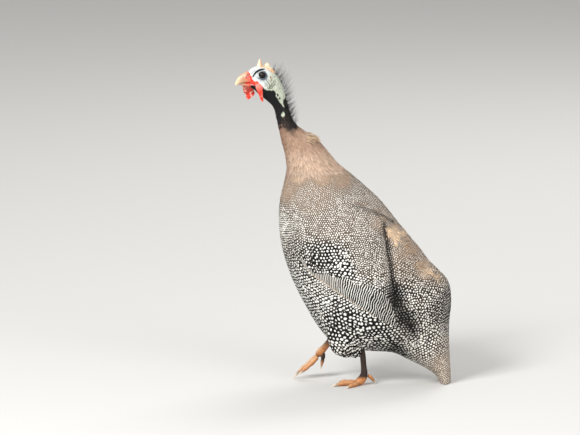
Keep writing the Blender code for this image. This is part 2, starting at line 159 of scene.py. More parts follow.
# Bill: culmen and lower edge (y, z) and half width, from the face to the tip.
BILL_UPPER = (
    ((-166.6, 489.3), (-164.2, 471.0), 6.4),
    ((-172.0, 487.4), (-170.0, 471.3), 5.8),
    ((-177.6, 484.2), (-175.6, 470.6), 4.8),
    ((-182.3, 480.0), (-180.2, 469.5), 3.6),
    ((-185.4, 475.4), (-183.6, 468.4), 2.3),
    ((-187.0, 470.4), (-185.4, 467.4), 1.1),
    ((-186.8, 467.0), (-186.0, 466.7), 0.5),
)
BILL_LOWER = (
    ((-164.1, 470.4), (-163.5, 465.2), 5.9),
    ((-170.2, 470.6), (-169.6, 466.0), 4.9),
    ((-176.0, 469.9), (-175.6, 467.0), 3.4),
    ((-181.0, 468.8), (-180.7, 468.0), 1.2),
)
BILL_KEEL = 0.32  # height of the widest line, as a share of the bill's height

# Casque: side outline (y, z), a front spike and a lower ridge behind it.
CASQUE_OUTLINE = (
    (-154.6, 493.0), (-152.8, 496.9), (-151.2, 502.0), (-149.3, 506.8), (-147.6, 507.4), (-146.1, 504.6),
    (-145.0, 498.6), (-142.5, 497.0), (-140.1, 499.0), (-138.2, 501.6), (-136.4, 501.7), (-133.0, 498.2),
    (-129.0, 492.6), (-125.4, 487.6), (-127.4, 484.2), (-135.4, 487.6), (-144.5, 490.8),
)
CASQUE_BASE_Z, CASQUE_TOP_Z = 493.0, 507.0
CASQUE_BASE_HALF, CASQUE_TOP_HALF = 4.8, 1.9

EYE_CENTRE, EYE_RADIUS = (8.6, -146.9, 484.0), 5.6
FINE_ROUND_EYE = 8.6  # the skin's faces are finer within this distance

# Tubes: centre line points (x, y, z), each with its half width and half thickness.
TUBE_ENDS = (0.15, 0.15)  # the shares of a tube's length over which its ends are rounded
WATTLE_LEFT = (
    ((9.0, -156.4, 472.0), 2.9, 1.0),
    ((11.4, -153.2, 468.9), 4.7, 1.3),
    ((13.0, -151.5, 464.6), 5.4, 1.5),
    ((14.0, -150.4, 458.9), 4.2, 1.5),
    ((14.2, -149.6, 454.6), 3.3, 1.4),
    ((14.2, -148.8, 449.8), 2.6, 1.2),
    ((14.0, -147.2, 445.4), 1.9, 1.1),
    ((13.8, -146.2, 442.6), 1.0, 0.9),
)
WATTLE_RIGHT = (
    ((-6.6, -160.2, 471.0), 3.2, 1.0),
    ((-9.2, -166.6, 466.4), 5.8, 1.4),
    ((-11.0, -166.6, 462.4), 6.6, 1.5),
    ((-12.8, -163.0, 457.0), 8.0, 1.5),
    ((-13.8, -161.3, 453.0), 7.3, 1.5),
    ((-14.2, -162.9, 448.4), 4.9, 1.4),
    ((-14.2, -163.9, 444.8), 2.9, 1.1),
    ((-14.0, -164.1, 442.4), 1.2, 0.9),
)
WATTLE_LEFT_FACES, WATTLE_RIGHT_FACES = (0.96, 0.28, 0), (0.97, -0.22, 0)

THIGH_LEFT = (
    ((46.0, -3.0, 136.0), 34.0, 22.0),
    ((45.0, -5.0, 106.0), 36.0, 22.0),
    ((42.0, -8.0, 84.0), 36.0, 19.0),
    ((38.0, -8.0, 67.0), 32.0, 14.5),
    ((34.5, -5.0, 57.0), 24.0, 10.0),
    ((32.0, -2.0, 50.5), 15.0, 6.6),
)
THIGH_RIGHT = (
    ((-46.0, 0.0, 136.0), 34.0, 22.0),
    ((-44.0, -8.0, 106.0), 35.0, 22.0),
    ((-38.0, -19.0, 85.0), 28.0, 18.0),
    ((-32.0, -28.0, 71.0), 19.0, 12.0),
    ((-29.0, -34.0, 61.0), 11.0, 8.0),
)
SHANK_LEFT = (
    ((28.6, 10.5, 60.0), 5.2, 4.4),
    ((28.3, 12.2, 46.0), 5.2, 4.4),
    ((28.0, 13.6, 30.0), 5.0, 4.3),
    ((27.8, 14.4, 19.0), 5.8, 5.2),
    ((27.4, 11.8, 10.5), 6.4, 6.4),
    ((27.6, 6.6, 5.4), 6.4, 6.4),
    ((27.8, 1.2, 3.6), 4.2, 5.4),
)
SHANK_RIGHT = (
    ((-27.8, -27.0, 73.0), 4.4, 4.8),
    ((-28.0, -37.0, 61.0), 4.4, 4.8),
    ((-28.1, -45.5, 50.8), 4.8, 5.0),
    ((-28.3, -51.0, 44.5), 5.8, 5.8),
    ((-28.5, -55.0, 40.0), 5.8, 5.8),
    ((-28.6, -58.5, 36.0), 4.6, 4.6),
)

# Toes: name, points to the claw's root, the claw's tip, half width at root and end.
TOES = (
    ("left_middle", ((28.0, -0.5, 4.6), (31.5, -10.5, 3.3), (36.0, -20.5, 3.2), (39.5, -27.5, 2.5)),
     (45.0, -37.5, 0.0), 4.0, 2.7),
    ("left_inner", ((23.5, 3.0, 4.4), (18.5, -7.0, 3.1), (14.0, -16.5, 3.0), (12.0, -21.0, 2.3)),
     (8.8, -28.5, 0.0), 3.6, 2.5),
    ("left_outer", ((33.0, 5.5, 4.4), (42.0, -0.5, 3.1), (50.5, -6.0, 3.0), (55.0, -9.5, 2.3)),
     (61.5, -14.5, 0.0), 3.6, 2.5),
    ("left_hind", ((25.6, 20.5, 15.0), (23.5, 25.5, 10.6), (21.5, 29.0, 5.8)),
     (19.5, 33.5, 0.0), 3.0, 2.1),
    ("right_middle", ((-28.6, -58.5, 35.9), (-28.9, -67.3, 26.8), (-29.2, -78.5, 17.4), (-29.4, -86.4, 10.4)),
     (-29.7, -96.2, -0.2), 4.3, 3.0),
    ("right_inner", ((-22.8, -57.5, 35.0), (-20.4, -66.5, 26.0), (-19.2, -75.5, 18.2), (-18.8, -80.5, 13.6)),
     (-18.6, -88.0, 6.6), 3.8, 2.7),
    ("right_outer", ((-34.4, -57.0, 36.0), (-37.2, -65.5, 28.0), (-38.8, -74.0, 19.8), (-39.4, -79.5, 14.8)),
     (-39.8, -87.2, 7.5), 3.8, 2.7),
    ("right_hind", ((-27.6, -48.6, 40.0), (-26.9, -49.6, 31.0), (-26.4, -51.4, 21.5)),
     (-26.2, -53.2, 13.4), 3.6, 2.2),
)
TOE_PAD_SWELL, TOE_PADS = 0.10, 3
CLAW_ROOT_SHARE, CLAW_TIP, CLAW_SUNK = 0.80, 0.45, 3.0
SHANK_PLATE, TOE_PLATE, SHANK_SCALE, TOE_SCALE = 3.3, 2.5, 1.7, 1.35
JOIN_REACH = 1.3  # how far from a new vertex the joined skin is smoothed

# Plumage by side-view place (y, z), with how far each reaches: spacing of the spots in mm, half a spot's
# width and its stretch as shares of that spacing, lean of the stretch in degrees, ground from 0 black
# to 1 grey, warmth from 0 grey to 1 tan, and lightness of the spots.
REGIONS = (
    ("cape_front", (-88, 330), 14, 3.2, 0.20, 1.0, 0, 1.05, 0.95, 0.20),
    ("cape_end", (-54, 330), 15, 3.2, 0.20, 1.0, 0, 1.05, 0.90, 0.22),
    ("cape_back", (-20, 326), 12, 3.2, 0.21, 1.0, 0, 1.00, 0.80, 0.35),
    ("shoulder", (-66, 296), 30, 3.3, 0.27, 1.0, 0, 0.72, 0.58, 0.85),
    ("breast_top", (-110, 306), 16, 3.4, 0.24, 1.0, 0, 0.95, 0.85, 0.60),
    ("breast_edge", (-112, 252), 14, 3.9, 0.29, 1.8, -30, 0.16, 0.28, 1.00),
    ("breast", (-94, 262), 18, 3.8, 0.30, 1.15, -20, 0.36, 0.40, 1.00),
    ("upper_coverts", (-46, 262), 30, 3.5, 0.28, 1.0, 0, 0.45, 0.50, 0.95),
    ("dark_coverts", (-48, 212), 30, 5.6, 0.25, 1.0, 0, 0.02, 0.10, 1.00),
    ("black_rows", (-20, 192), 16, 6.2, 0.29, 1.25, 30, 0.00, 0.00, 1.00),
    ("fine_bars", (-48, 163), 18, 4.0, 0.30, 1.4, 0, 0.12, 0.20, 0.90),
    ("bold_bars", (10, 143), 22, 4.2, 0.30, 1.4, 0, 0.03, 0.05, 0.95),
    ("tertials", (20, 214), 26, 3.5, 0.26, 1.2, 90, 0.26, 0.45, 0.95),
    ("scapulars", (0, 272), 30, 3.5, 0.27, 1.1, 0, 0.50, 0.50, 0.90),
    ("back", (38, 282), 26, 3.4, 0.26, 1.2, 0, 0.68, 0.65, 0.75),
    ("wing_crest", (34, 262), 9, 3.4, 0.24, 1.2, 0, 0.95, 0.75, 0.75),
    ("buff_tuft", (58, 243), 8, 3.4, 0.20, 1.0, 0, 0.90, 1.05, 0.45),
    ("rump_top", (88, 216), 26, 3.5, 0.27, 1.0, 0, 0.68, 0.80, 0.75),
    ("rump_buff", (110, 180), 12, 3.9, 0.24, 1.0, 0, 0.80, 1.00, 0.65),
    ("rump_back", (128, 176), 16, 4.1, 0.27, 1.0, 0, 0.42, 0.75, 0.92),
    ("rump_side", (98, 142), 28, 4.9, 0.28, 1.0, 0, 0.08, 0.50, 0.98),
    ("rump_front", (78, 190), 14, 4.2, 0.26, 1.0, 0, 0.32, 0.78, 0.85),
    # groove and groove_low: painted shade in the furrow behind the wing, where the wing's rear edge throws
    # its shadow
    ("groove", (64, 146), 16, 4.6, 0.22, 1.0, 0, 0.00, 0.20, 0.60),
    ("groove_low", (84, 112), 14, 4.8, 0.23, 1.0, 0, 0.00, 0.20, 0.70),
    ("rear", (142, 122), 24, 4.2, 0.235, 1.0, 0, 0.06, 0.35, 0.90),
    ("tail_side", (100, 76), 26, 5.2, 0.32, 1.05, 0, 0.17, 0.35, 1.00),
    ("tail_edge", (134, 62), 14, 4.4, 0.28, 1.0, 0, 0.32, 0.60, 0.95),
    ("tail_end", (143, 30), 22, 3.5, 0.26, 1.25, 0, 0.70, 0.80, 0.88),
    ("under_tail", (64, 58), 14, 6.8, 0.20, 1.0, 0, 0.00, 0.10, 0.60),
    ("belly", (4, 92), 40, 7.0, 0.275, 1.0, 0, 0.00, 0.10, 1.00),
    ("belly_front", (-62, 146), 26, 5.7, 0.275, 1.35, -20, 0.00, 0.10, 1.00),
)

# Loose tufts behind the wings and on the rump: side-view place (y, z), how far each reaches and how pale.
TUFTS = (
    ((52, 246), (11, 7), 1.0), ((60, 237), (7, 9), 1.0), ((98, 194), (12, 5), 0.35),
    ((112, 182), (9, 5), 0.8), ((68, 241), (10, 4), 0.9), ((-67, 388), (11, 5), 0.75),
    ((30, 268), (10, 3), 0.6), ((84, 216), (10, 6), 0.2), ((76, 226), (6, 10), 0.3),
    ((124, 173), (6, 4), 0.5),
)
TUFT_TRIALS = 32000

# Side-view lines (y, z) of the head, before its turn.
BLACK_EDGE = (
    (-175, 462.0), (-160.5, 468.6), (-150, 466.6), (-145.8, 465.6), (-144.2, 462.7), (-137.9, 460.2),
    (-130.0, 460.7), (-126.0, 456.6), (-125.2, 451.9), (-122.9, 447.9), (-120.5, 444.7), (-117.3, 439.1),
    (-111.0, 432.2), (-110.4, 433.8), (-112.6, 438.9), (-113.3, 443.7), (-108.6, 448.2), (-100.0, 452.0),
    (-60, 452), (-60, 340), (-200, 340), (-200, 462),
)
BLACK_NOTCHES = ((-122.4, 452.4), (-119.2, 446.4))
BROW_LINE = (
    (-160.2, 482.6), (-158.2, 485.6), (-155.6, 488.6), (-151.6, 490.9), (-147.0, 492.2), (-142.2, 492.4),
)
CREASES = (
    ((-164.0, 488.7), (-160.8, 491.6), (-157.7, 494.0)),
    ((-162.6, 485.6), (-160.2, 488.6), (-157.2, 491.6)),
)
CHEEK_FOLDS = (
    ((-143.5, 475.4), (-140.6, 472.6), (-138.3, 468.6), (-137.2, 464.6)),
    ((-138.6, 476.2), (-135.4, 472.2), (-133.0, 467.6), (-132.4, 464.6)),
    ((-134.6, 463.8), (-131.4, 466.6), (-128.2, 470.4), (-127.0, 474.0)),
)
EAR_PITS = ((-132.8, 480.0, 1.5), (-132.0, 475.6, 1.3))
GAPE_LINE = ((-170.0, 470.9), (-164.0, 471.0), (-160.0, 470.2), (-156.6, 468.4))
RED_BLOBS = (
    (-166.4, 485.0, 2.4), (-165.0, 481.0, 2.6), (-164.6, 477.4, 3.0), (-162.6, 473.4, 3.8),
    (-158.8, 471.0, 3.6), (-155.4, 471.2, 3.2), (-152.6, 468.4, 2.8),
)
NECK_PATCH, NECK_PATCH_HALF = (-113.0, 421.8), (3.2, 4.4)
NOSTRIL = ((-166.4, 484.8), (-168.4, 482.6), (-169.9, 480.2))

LINEAR = {
    "white_skin": (0.58, 0.61, 0.60),
    "nape_skin": (0.43, 0.465, 0.350),
    # the next colour is painted shade in the bare head's creases, folds and hollows
    "crease_shade": (0.075, 0.080, 0.055),
    "black_skin": (0.005, 0.005, 0.006),
    "red": (0.66, 0.038, 0.020),
    "pink": (0.92, 0.46, 0.38),
    "ear": (0.26, 0.09, 0.05),
    "lid": (0.06, 0.082, 0.112),
    "scale_dark": (0.014, 0.012, 0.012),
    "scale_orange": (0.52, 0.22, 0.08),
    # the next colour is a painted highlight on the toes' top plates and on the raised foot's upper side
    "scale_highlight": (0.74, 0.52, 0.32),
    "bill_pink": (0.48, 0.24, 0.135),
    "ivory": (0.70, 0.57, 0.37),
    "casque_cream": (0.74, 0.64, 0.46),
    "casque_orange": (0.60, 0.24, 0.08),
    "casque_brown": (0.16, 0.10, 0.065),
    "eye_rim": (0.016, 0.010, 0.008),
    "iris": (0.009, 0.0045, 0.003),
    "pupil": (0.002, 0.002, 0.002),
    "claw_root": (0.34, 0.24, 0.17),
    "claw_tip": (0.72, 0.62, 0.50),
    "neck_black": (0.014, 0.012, 0.012),
    "cape_tan": (0.40, 0.258, 0.178),
    "cape_brown": (0.25, 0.15, 0.10),
    "cape_light": (0.70, 0.53, 0.40),
    "cape_grey": (0.45, 0.345, 0.27),
    "buff": (0.86, 0.64, 0.43),
    "tuft_brown": (0.24, 0.16, 0.11),
}


# ---------------------------------------------------------------- curves and surfaces


def number_table(rows):
    """The rows' numbers as an array, without the rows' names."""
    numbers = ([entry for entry in row if not isinstance(entry, str)] for row in rows)
    return np.array([np.hstack(row) for row in numbers], float)


def along(table, t):
    """The table's numbers at steps t, on a smooth curve through every row."""
    last = len(table) - 1
    t = np.clip(np.asarray(t, float), 0, last)
    i = np.minimum(t.astype(int), last - 1)
    f = (t - i)[..., None]
    p, q, r, s = (table[np.clip(i + k, 0, last)] for k in (-1, 0, 1, 2))
    return 0.5 * (2 * q + (r - p) * f + (2 * p - 5 * q + 4 * r - s) * f**2 + (3 * q - p - 3 * r + s) * f**3)


def smooth_step(value, start, end):
    share = np.clip((np.asarray(value, float) - start) / (end - start), 0, 1)
    return share * share * (3 - 2 * share)


def hump(distance, width):
    """1 on a line and 0 away from it."""
    return np.exp(-((distance / width) ** 2))


def unit(vectors):
    return vectors / np.linalg.norm(vectors, axis=-1, keepdims=True)


def turned(points, share=1.0):
    """Points after the head's turn about the neck's upright axis."""
    x, y, z = np.moveaxis(np.asarray(points, float), -1, 0)
    c, s = np.cos(HEAD_TURN * share), np.sin(HEAD_TURN * share)
    y = y - TURN_PIVOT_Y
    return np.stack((c * x - s * y, TURN_PIVOT_Y + s * x + c * y, z), axis=-1)


def turn_share(t):
    return 1 - smooth_step(t, STATION["nape_low"], STATION["cape_middle"])


def section(values, angle, keel=0.5):
    """Points of upright ovals: values are their top (y, z), bottom (y, z) and half width."""
    top_y, top_z, bottom_y, bottom_z, half = np.moveaxis(values, -1, 0)
    height = np.cos(angle)
    share = np.where(height > 0, keel + (1 - keel) * height, keel * (1 + height))
    return np.stack(
        (half * np.sin(angle), bottom_y + (top_y - bottom_y) * share, bottom_z + (top_z - bottom_z) * share),
        axis=-1,
    )


BODY, WING, REGION_VALUES = number_table(BODY_STATIONS), number_table(WING_EDGES), number_table(REGIONS)


def body_points(t, angle):
    """Points of the feathered outline of the whole body, before the head's turn."""
    return section(along(BODY, t), angle)


EYE_AT_REST = turned(EYE_CENTRE)
SHIFT_Y = sum(corner.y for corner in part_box("eye_left")) / 2 / MM - EYE_AT_REST[1]


def to_metres(points):
    """The bird's own millimetres as the frame's metres."""
    return (np.asarray(points, float) + (0, SHIFT_Y, 0)) * MM


def line_distance(y, z, line):
    """How far side-view places are from a line, and how far along the line the nearest point is, 0 to 1."""
    line = np.asarray(line, float)
    nearest, share = np.full(np.shape(y), np.inf), np.zeros(np.shape(y))
    for i, (start, end) in enumerate(zip(line[:-1], line[1:])):
        way = end - start
        f = np.clip(((y - start[0]) * way[0] + (z - start[1]) * way[1]) / max(way.dot(way), 1e-9), 0, 1)
        distance = np.hypot(y - start[0] - f * way[0], z - start[1] - f * way[1])
        closer = distance < nearest
        nearest = np.where(closer, distance, nearest)
        share = np.where(closer, (i + f) / (len(line) - 1), share)
    return nearest, share


def depth_inside(y, z, outline):
    """Millimetres from side-view places to a closed outline, above 0 inside it."""
    outline = np.asarray(outline, float)
    inside = np.zeros(np.shape(y), bool)
    for start, end in zip(outline, np.roll(outline, -1, axis=0)):
        if start[1] != end[1]:
            crosses = (start[1] > z) != (end[1] > z)
            inside ^= crosses & (y < start[0] + (z - start[1]) * (end[0] - start[0]) / (end[1] - start[1]))
    distance, _ = line_distance(y, z, np.vstack((outline, outline[:1])))
    return np.where(inside, distance, -distance)


WING_OUTLINE = np.vstack((WING[:, :2], WING[::-1, 2:]))


class Sheet:
    """A smooth surface held as a fine grid: p runs along the lie of the feathers and q across it."""

    def __init__(self, p_span, q_span, counts, place, outward=1):
        self.p = np.linspace(*p_span, counts[0])
        self.q = np.linspace(*q_span, counts[1])
        self.outward = outward
        points = place(*np.meshgrid(self.p, self.q, indexing="ij"))
        ahead = np.gradient(points, self.p, axis=0)
        aside = np.gradient(points, self.q, axis=1)
        normal = np.cross(aside, ahead) * outward
        normal /= np.linalg.norm(normal, axis=-1, keepdims=True) + 1e-12
        paces = (np.linalg.norm(way, axis=-1, keepdims=True) for way in (ahead, aside))
        self.values = np.concatenate((points, normal, *paces), axis=-1)

    def at(self, p, q):
        """Points, outward normals and the millimetres in one unit of p and of q."""
        i = (p - self.p[0]) / (self.p[1] - self.p[0])
        j = (q - self.q[0]) / (self.q[1] - self.q[0])
        a = np.clip(np.floor(i), 0, len(self.p) - 2).astype(int)
        b = np.clip(np.floor(j), 0, len(self.q) - 2).astype(int)
        f, g = (i - a)[..., None], (j - b)[..., None]
        v = self.values
        near, far = ((1 - g) * v[row, b] + g * v[row, b + 1] for row in (a, a + 1))
        mixed = (1 - f) * near + f * far
        return mixed[..., :3], mixed[..., 3:6], mixed[..., 6], mixed[..., 7]


STATION_STEPS = np.linspace(0, len(BODY_STATIONS) - 1, 1400)
SIDE_LINE = body_points(STATION_STEPS, np.full(STATION_STEPS.shape, math.pi / 2))
STATION_WAY = np.concatenate(((0,), np.cumsum(np.linalg.norm(np.diff(SIDE_LINE, axis=0), axis=1))))


def way_to(station):
    """Millimetres along the body's side to a named station."""
    return float(np.interp(STATION[station], STATION_STEPS, STATION_WAY))


def furrows(points):
    """How deep the coat's partings are: beside the breast's middle, behind the wings and before the rump."""
    x, y, z = np.moveaxis(points, -1, 0)
    along_breast = smooth_step(z, 196, 216) * (1 - smooth_step(z, 276, 296)) * smooth_step(-y, 70, 90)
    behind_wing, share = line_distance(y, z, WING_FURROW)
    ends = smooth_step(share, 0.0, 0.15) * (1 - smooth_step(share, 0.85, 1.0))
    deep = 3.0 * hump(np.abs(x) - 31, 5) * along_breast
    return deep + 5.0 * hump(behind_wing, 5.5 + 4 * share) * ends * (np.abs(x) > 25)


def body_place(p, angle):
    t = np.interp(p, STATION_WAY, STATION_STEPS)
    points = body_points(t, angle)
    outward = points - section(along(BODY, t), angle + math.pi)
    outward /= np.linalg.norm(outward, axis=-1, keepdims=True) + 1e-9
    points = points - outward * furrows(points)[..., None]
    return turned(points, turn_share(t))


@lru_cache(maxsize=None)
def body_sheet():
    return Sheet((0, STATION_WAY[-1]), PAST_ROUND, (460, 300), body_place)


def wing_sheet(side):
    """The folded wing's outside over the body: p from the shoulder to the tip, q from lower to upper edge."""
    values = body_sheet().values
    corners = [tuple(point) for point in values[..., :3].reshape(-1, 3)]
    rows, columns = values.shape[:2]
    quads = [
        (i * columns + j, i * columns + j + 1, (i + 1) * columns + j + 1, (i + 1) * columns + j)
        for i in range(rows // 6, rows - 1)
        for j in range(columns // 2 + 2)
    ]
    flank = BVHTree.FromPolygons(corners, quads)

    def place(p, q):
        edges = along(WING, p * (len(WING) - 1))
        yz = edges[..., 2:] + (edges[..., :2] - edges[..., 2:]) * q[..., None]
        x = np.zeros(p.shape)
        for index in np.ndindex(p.shape):
            hit, _, _, _ = flank.ray_cast(Vector((200, *yz[index])), Vector((-1, 0, 0)))
            x[index] = hit.x if hit else x[index[0], max(index[1] - 1, 0)]
        across, step = np.clip(q, 0, 1), np.clip(p, 0, 1)
        bulge = np.sin(math.pi * across) * np.sqrt(np.sin(math.pi * step))
        rear = smooth_step(across, 0.6, 1) * smooth_step(step, 0.25, 0.45)
        x += WING_EDGE_PROUD + (WING_PROUD - WING_EDGE_PROUD) * bulge + WING_REAR_PROUD * rear
        return np.stack((side * x, yz[..., 0], yz[..., 1]), axis=-1)

    return Sheet((0, 1), (0, 1), (110, 70), place, outward=-side)


def tube_points(table, p, angle, facing=(1, 0, 0), ends=None, swell=0.0):
    """Points of a tube through (centre, half width, half thickness) rows, its thickness towards facing."""
    last = len(table) - 1
    t = p * last
    values = along(table, t)
    line = along(table, np.minimum(t + 0.05, last))[..., :3] - along(table, np.maximum(t - 0.05, 0))[..., :3]
    line = unit(line)
    facing = np.asarray(facing, float)
    thick = unit(facing - line * (line @ facing)[..., None])
    wide = np.cross(line, thick)
    size = np.ones(p.shape)
    if ends:
        rounding = np.clip(np.minimum(p / ends[0], (1 - p) / ends[1]), 0, 1)
        size = np.sqrt(1 - (1 - rounding) ** 2 * 0.94)
    size = size * (1 + swell * np.cos(2 * math.pi * TOE_PADS * p))
    around = thick * (values[..., 4] * size * np.cos(angle))[..., None]
    around += wide * (values[..., 3] * size * np.sin(angle))[..., None]
    return values[..., :3] + around


# ---------------------------------------------------------------- meshes


def wrapped_grid(rings, segments, place):
    """A closed tube: a grid whose points go to place(steps from 0 to 1, angles), welded along its seam."""
    bm = bmesh.new()
    bmesh.ops.create_grid(bm, x_segments=rings, y_segments=segments, size=0.5)
    step_layer = bm.verts.layers.float.new("step")
    where = np.array([vertex.co[:2] for vertex in bm.verts]) + 0.5
    for vertex, point, step in zip(bm.verts, place(where[:, 0], where[:, 1] * 2 * math.pi), where[:, 0]):
        vertex.co = point
        vertex[step_layer] = step
    bmesh.ops.remove_doubles(bm, verts=bm.verts, dist=1e-4)
    bmesh.ops.holes_fill(bm, edges=[edge for edge in bm.edges if edge.is_boundary], sides=0)
    bmesh.ops.recalc_face_normals(bm, faces=bm.faces)
    return bm


def steps_of(bm):
    """The step, 0 to 1, that each vertex of a wrapped grid was made for."""
    layer = bm.verts.layers.float["step"]
    return np.array([vertex[layer] for vertex in bm.verts])


def bm_points(bm):
    return np.array([vertex.co for vertex in bm.verts], float)


def bm_normals(bm):
    bm.normal_update()
    return np.array([vertex.normal for vertex in bm.verts], float)


def move_points(bm, points):
    for vertex, point in zip(bm.verts, points):
        vertex.co = point


def plain_object(name, bm, materials=()):
    """Stores a bmesh in the bird's millimetres as an object in the frame's metres."""
    move_points(bm, to_metres(bm_points(bm)))
    mesh = bpy.data.meshes.new(name)
    bm.to_mesh(mesh)
    bm.free()
    return linked(name, mesh, materials)


def linked(name, mesh, materials):
    mesh.shade_smooth()
    for material in materials:
        mesh.materials.append(material)
    piece = bpy.data.objects.new(name, mesh)
    bpy.context.scene.collection.objects.link(piece)
    return piece


def settle(piece, slot, *nodes):
    """Puts a finished piece on the body and hides the solids that it stands for. Its slot is not used."""
    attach(piece, BODY_NAME)
    if nodes:
        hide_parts(*nodes)


def mesh_vectors(mesh, field):
    vectors = np.empty(len(mesh.vertices) * 3)
    mesh.vertices.foreach_get(field, vectors)
    return vectors.reshape(-1, 3)


def mesh_points(mesh):
    return mesh_vectors(mesh, "co") / MM - (0, SHIFT_Y, 0)


def set_mesh_points(mesh, points):
    mesh.vertices.foreach_set("co", to_metres(points).ravel())
    mesh.update()


def with_modifiers(piece):
    """Replaces the object's mesh by what its modifiers make of it."""
    evaluated = piece.evaluated_get(bpy.context.evaluated_depsgraph_get())
    mesh = bpy.data.meshes.new_from_object(evaluated)
    old = piece.data
    piece.modifiers.clear()
    piece.data = mesh
    bpy.data.meshes.remove(old)
    return mesh


def remeshed(piece, voxel, smoothing):
    """Makes the piece one even closed surface with softened joins."""
    remesh = piece.modifiers.new("even", "REMESH")
    remesh.mode = "VOXEL"
    remesh.voxel_size = voxel * MM
    smooth = piece.modifiers.new("soften", "SMOOTH")
    smooth.factor = 0.5
    smooth.iterations = smoothing
    return with_modifiers(piece)


def set_value(mesh, name, values):
    """Stores a number, a vector or a colour for each vertex."""
    values = np.asarray(values, np.float32)
    width = values.size // len(values)
    kind, field = {1: ("FLOAT", "value"), 3: ("FLOAT_VECTOR", "vector"), 4: ("FLOAT_COLOR", "color")}[width]
    old = mesh.attributes.get(name)
    if old:
        mesh.attributes.remove(old)
    mesh.attributes.new(name, kind, "POINT").data.foreach_set(field, values.ravel())


def opaque(colours):
    return np.concatenate((colours, np.ones((*colours.shape[:-1], 1))), axis=-1)


def painted(points, ground, *layers):
    """A colour for each point: a named one, under layers of a share and a colour's name."""
    colours = np.tile(LINEAR[ground], (len(points), 1))
    for share, name in layers:
        share = np.clip(share, 0, 1)[:, None]
        colours = colours * (1 - share) + np.array(LINEAR[name]) * share
    return colours


def wavy(points, scale, seed=0.0):
    """A smooth, seeded ripple between -1 and 1 over points, from sines in crossing directions."""
    x, y, z = np.moveaxis(np.asarray(points, float), -1, 0)
    value = np.sin((1.00 * x + 0.62 * y - 0.38 * z) / scale + seed)
    value += np.sin((-0.57 * x + 0.83 * y + 0.71 * z) / scale * 1.31 + 2.1 * seed + 1.0)
    value += np.sin((0.33 * x - 0.91 * y + 0.97 * z) / scale * 1.73 + 0.7 * seed + 4.0)
    return value / 3


def rough(points, scale, seed=0.0):
    """An irregular ripple between -1 and 1: a wavy one over places that other ripples have shifted."""
    points = np.asarray(points, float)
    shift = np.stack([wavy(points, 1.9 * scale, seed + 3 * axis) for axis in range(3)], axis=-1)
    return wavy(points + 1.7 * scale * shift, scale, seed)


# ---------------------------------------------------------------- vanes

LATTICE_STEPS = 600


def vane_template(across, lengthwise, root, widest, tip, rounding):
    """A feather's vane as a closed flat shell of a few dozen faces.

    Each vertex has its side (-1 to 1), its place ahead of the root (0 to 1) and its face (1 above, -1 under).
    """
    bm = bmesh.new()
    bmesh.ops.create_grid(bm, x_segments=across, y_segments=lengthwise, size=0.5)
    under = bmesh.ops.duplicate(bm, geom=bm.verts[:] + bm.edges[:] + bm.faces[:])["geom"]
    under_verts = {element for element in under if isinstance(element, bmesh.types.BMVert)}
    under_faces = [element for element in under if isinstance(element, bmesh.types.BMFace)]
    bmesh.ops.reverse_faces(bm, faces=under_faces)
    for vertex in bm.verts:
        if not vertex.is_boundary:
            vertex.co.z = -1 if vertex in under_verts else 1
    bmesh.ops.remove_doubles(bm, verts=bm.verts, dist=1e-4)
    x, y, face = bm_points(bm).T
    lengthways = y + 0.5
    grown = root + (1 - root) * smooth_step(lengthways, 0, widest)
    narrowed = 1 + (tip - 1) * np.clip((lengthways - widest) / (1 - widest), 0, 1) ** 2
    aside = 2 * x
    vane = SimpleNamespace(
        side=aside * grown * narrowed,
        ahead=lengthways - rounding * aside**2 * lengthways**3,
        face=face,
        quads=np.array([[vertex.index for vertex in quad.verts] for quad in bm.faces]),
    )
    bm.free()
    return vane


def straight_on(x, known, values):
    """Values between the known places, going on straight beyond both ends."""
    inside = np.interp(x, known, values)
    for end, inner in ((0, 10), (-1, -11)):
        slope = (values[inner] - values[end]) / (known[inner] - known[end])
        beyond = x < known[0] if end == 0 else x > known[-1]
        inside = np.where(beyond, values[end] + (x - known[end]) * slope, inside)
    return inside


def square_rows(sheet, p, rows, start, goals):
    """The rows met at each p of the goals' columns, on walks from the start that keep square to the lie."""
    walked, at_q, found = p.copy(), start, []
    small_p, small_q = (p[-1] - p[0]) * 0.002, 0.002
    for goal in goals:
        for share in range(4):
            places = [
                sheet.at(walked + ahead, np.full(p.shape, at_q + (goal - at_q) * share / 4 + beside))[0]
                for ahead, beside in ((0, 0), (small_p, 0), (0, small_q))
            ]
            lie, across = (places[1] - places[0]) / small_p, (places[2] - places[0]) / small_q
            walked = walked - (lie * across).sum(axis=1) / (lie**2).sum(axis=1) * (goal - at_q) / 4
        at_q = goal
        found.append(straight_on(p, walked, rows))
    return found


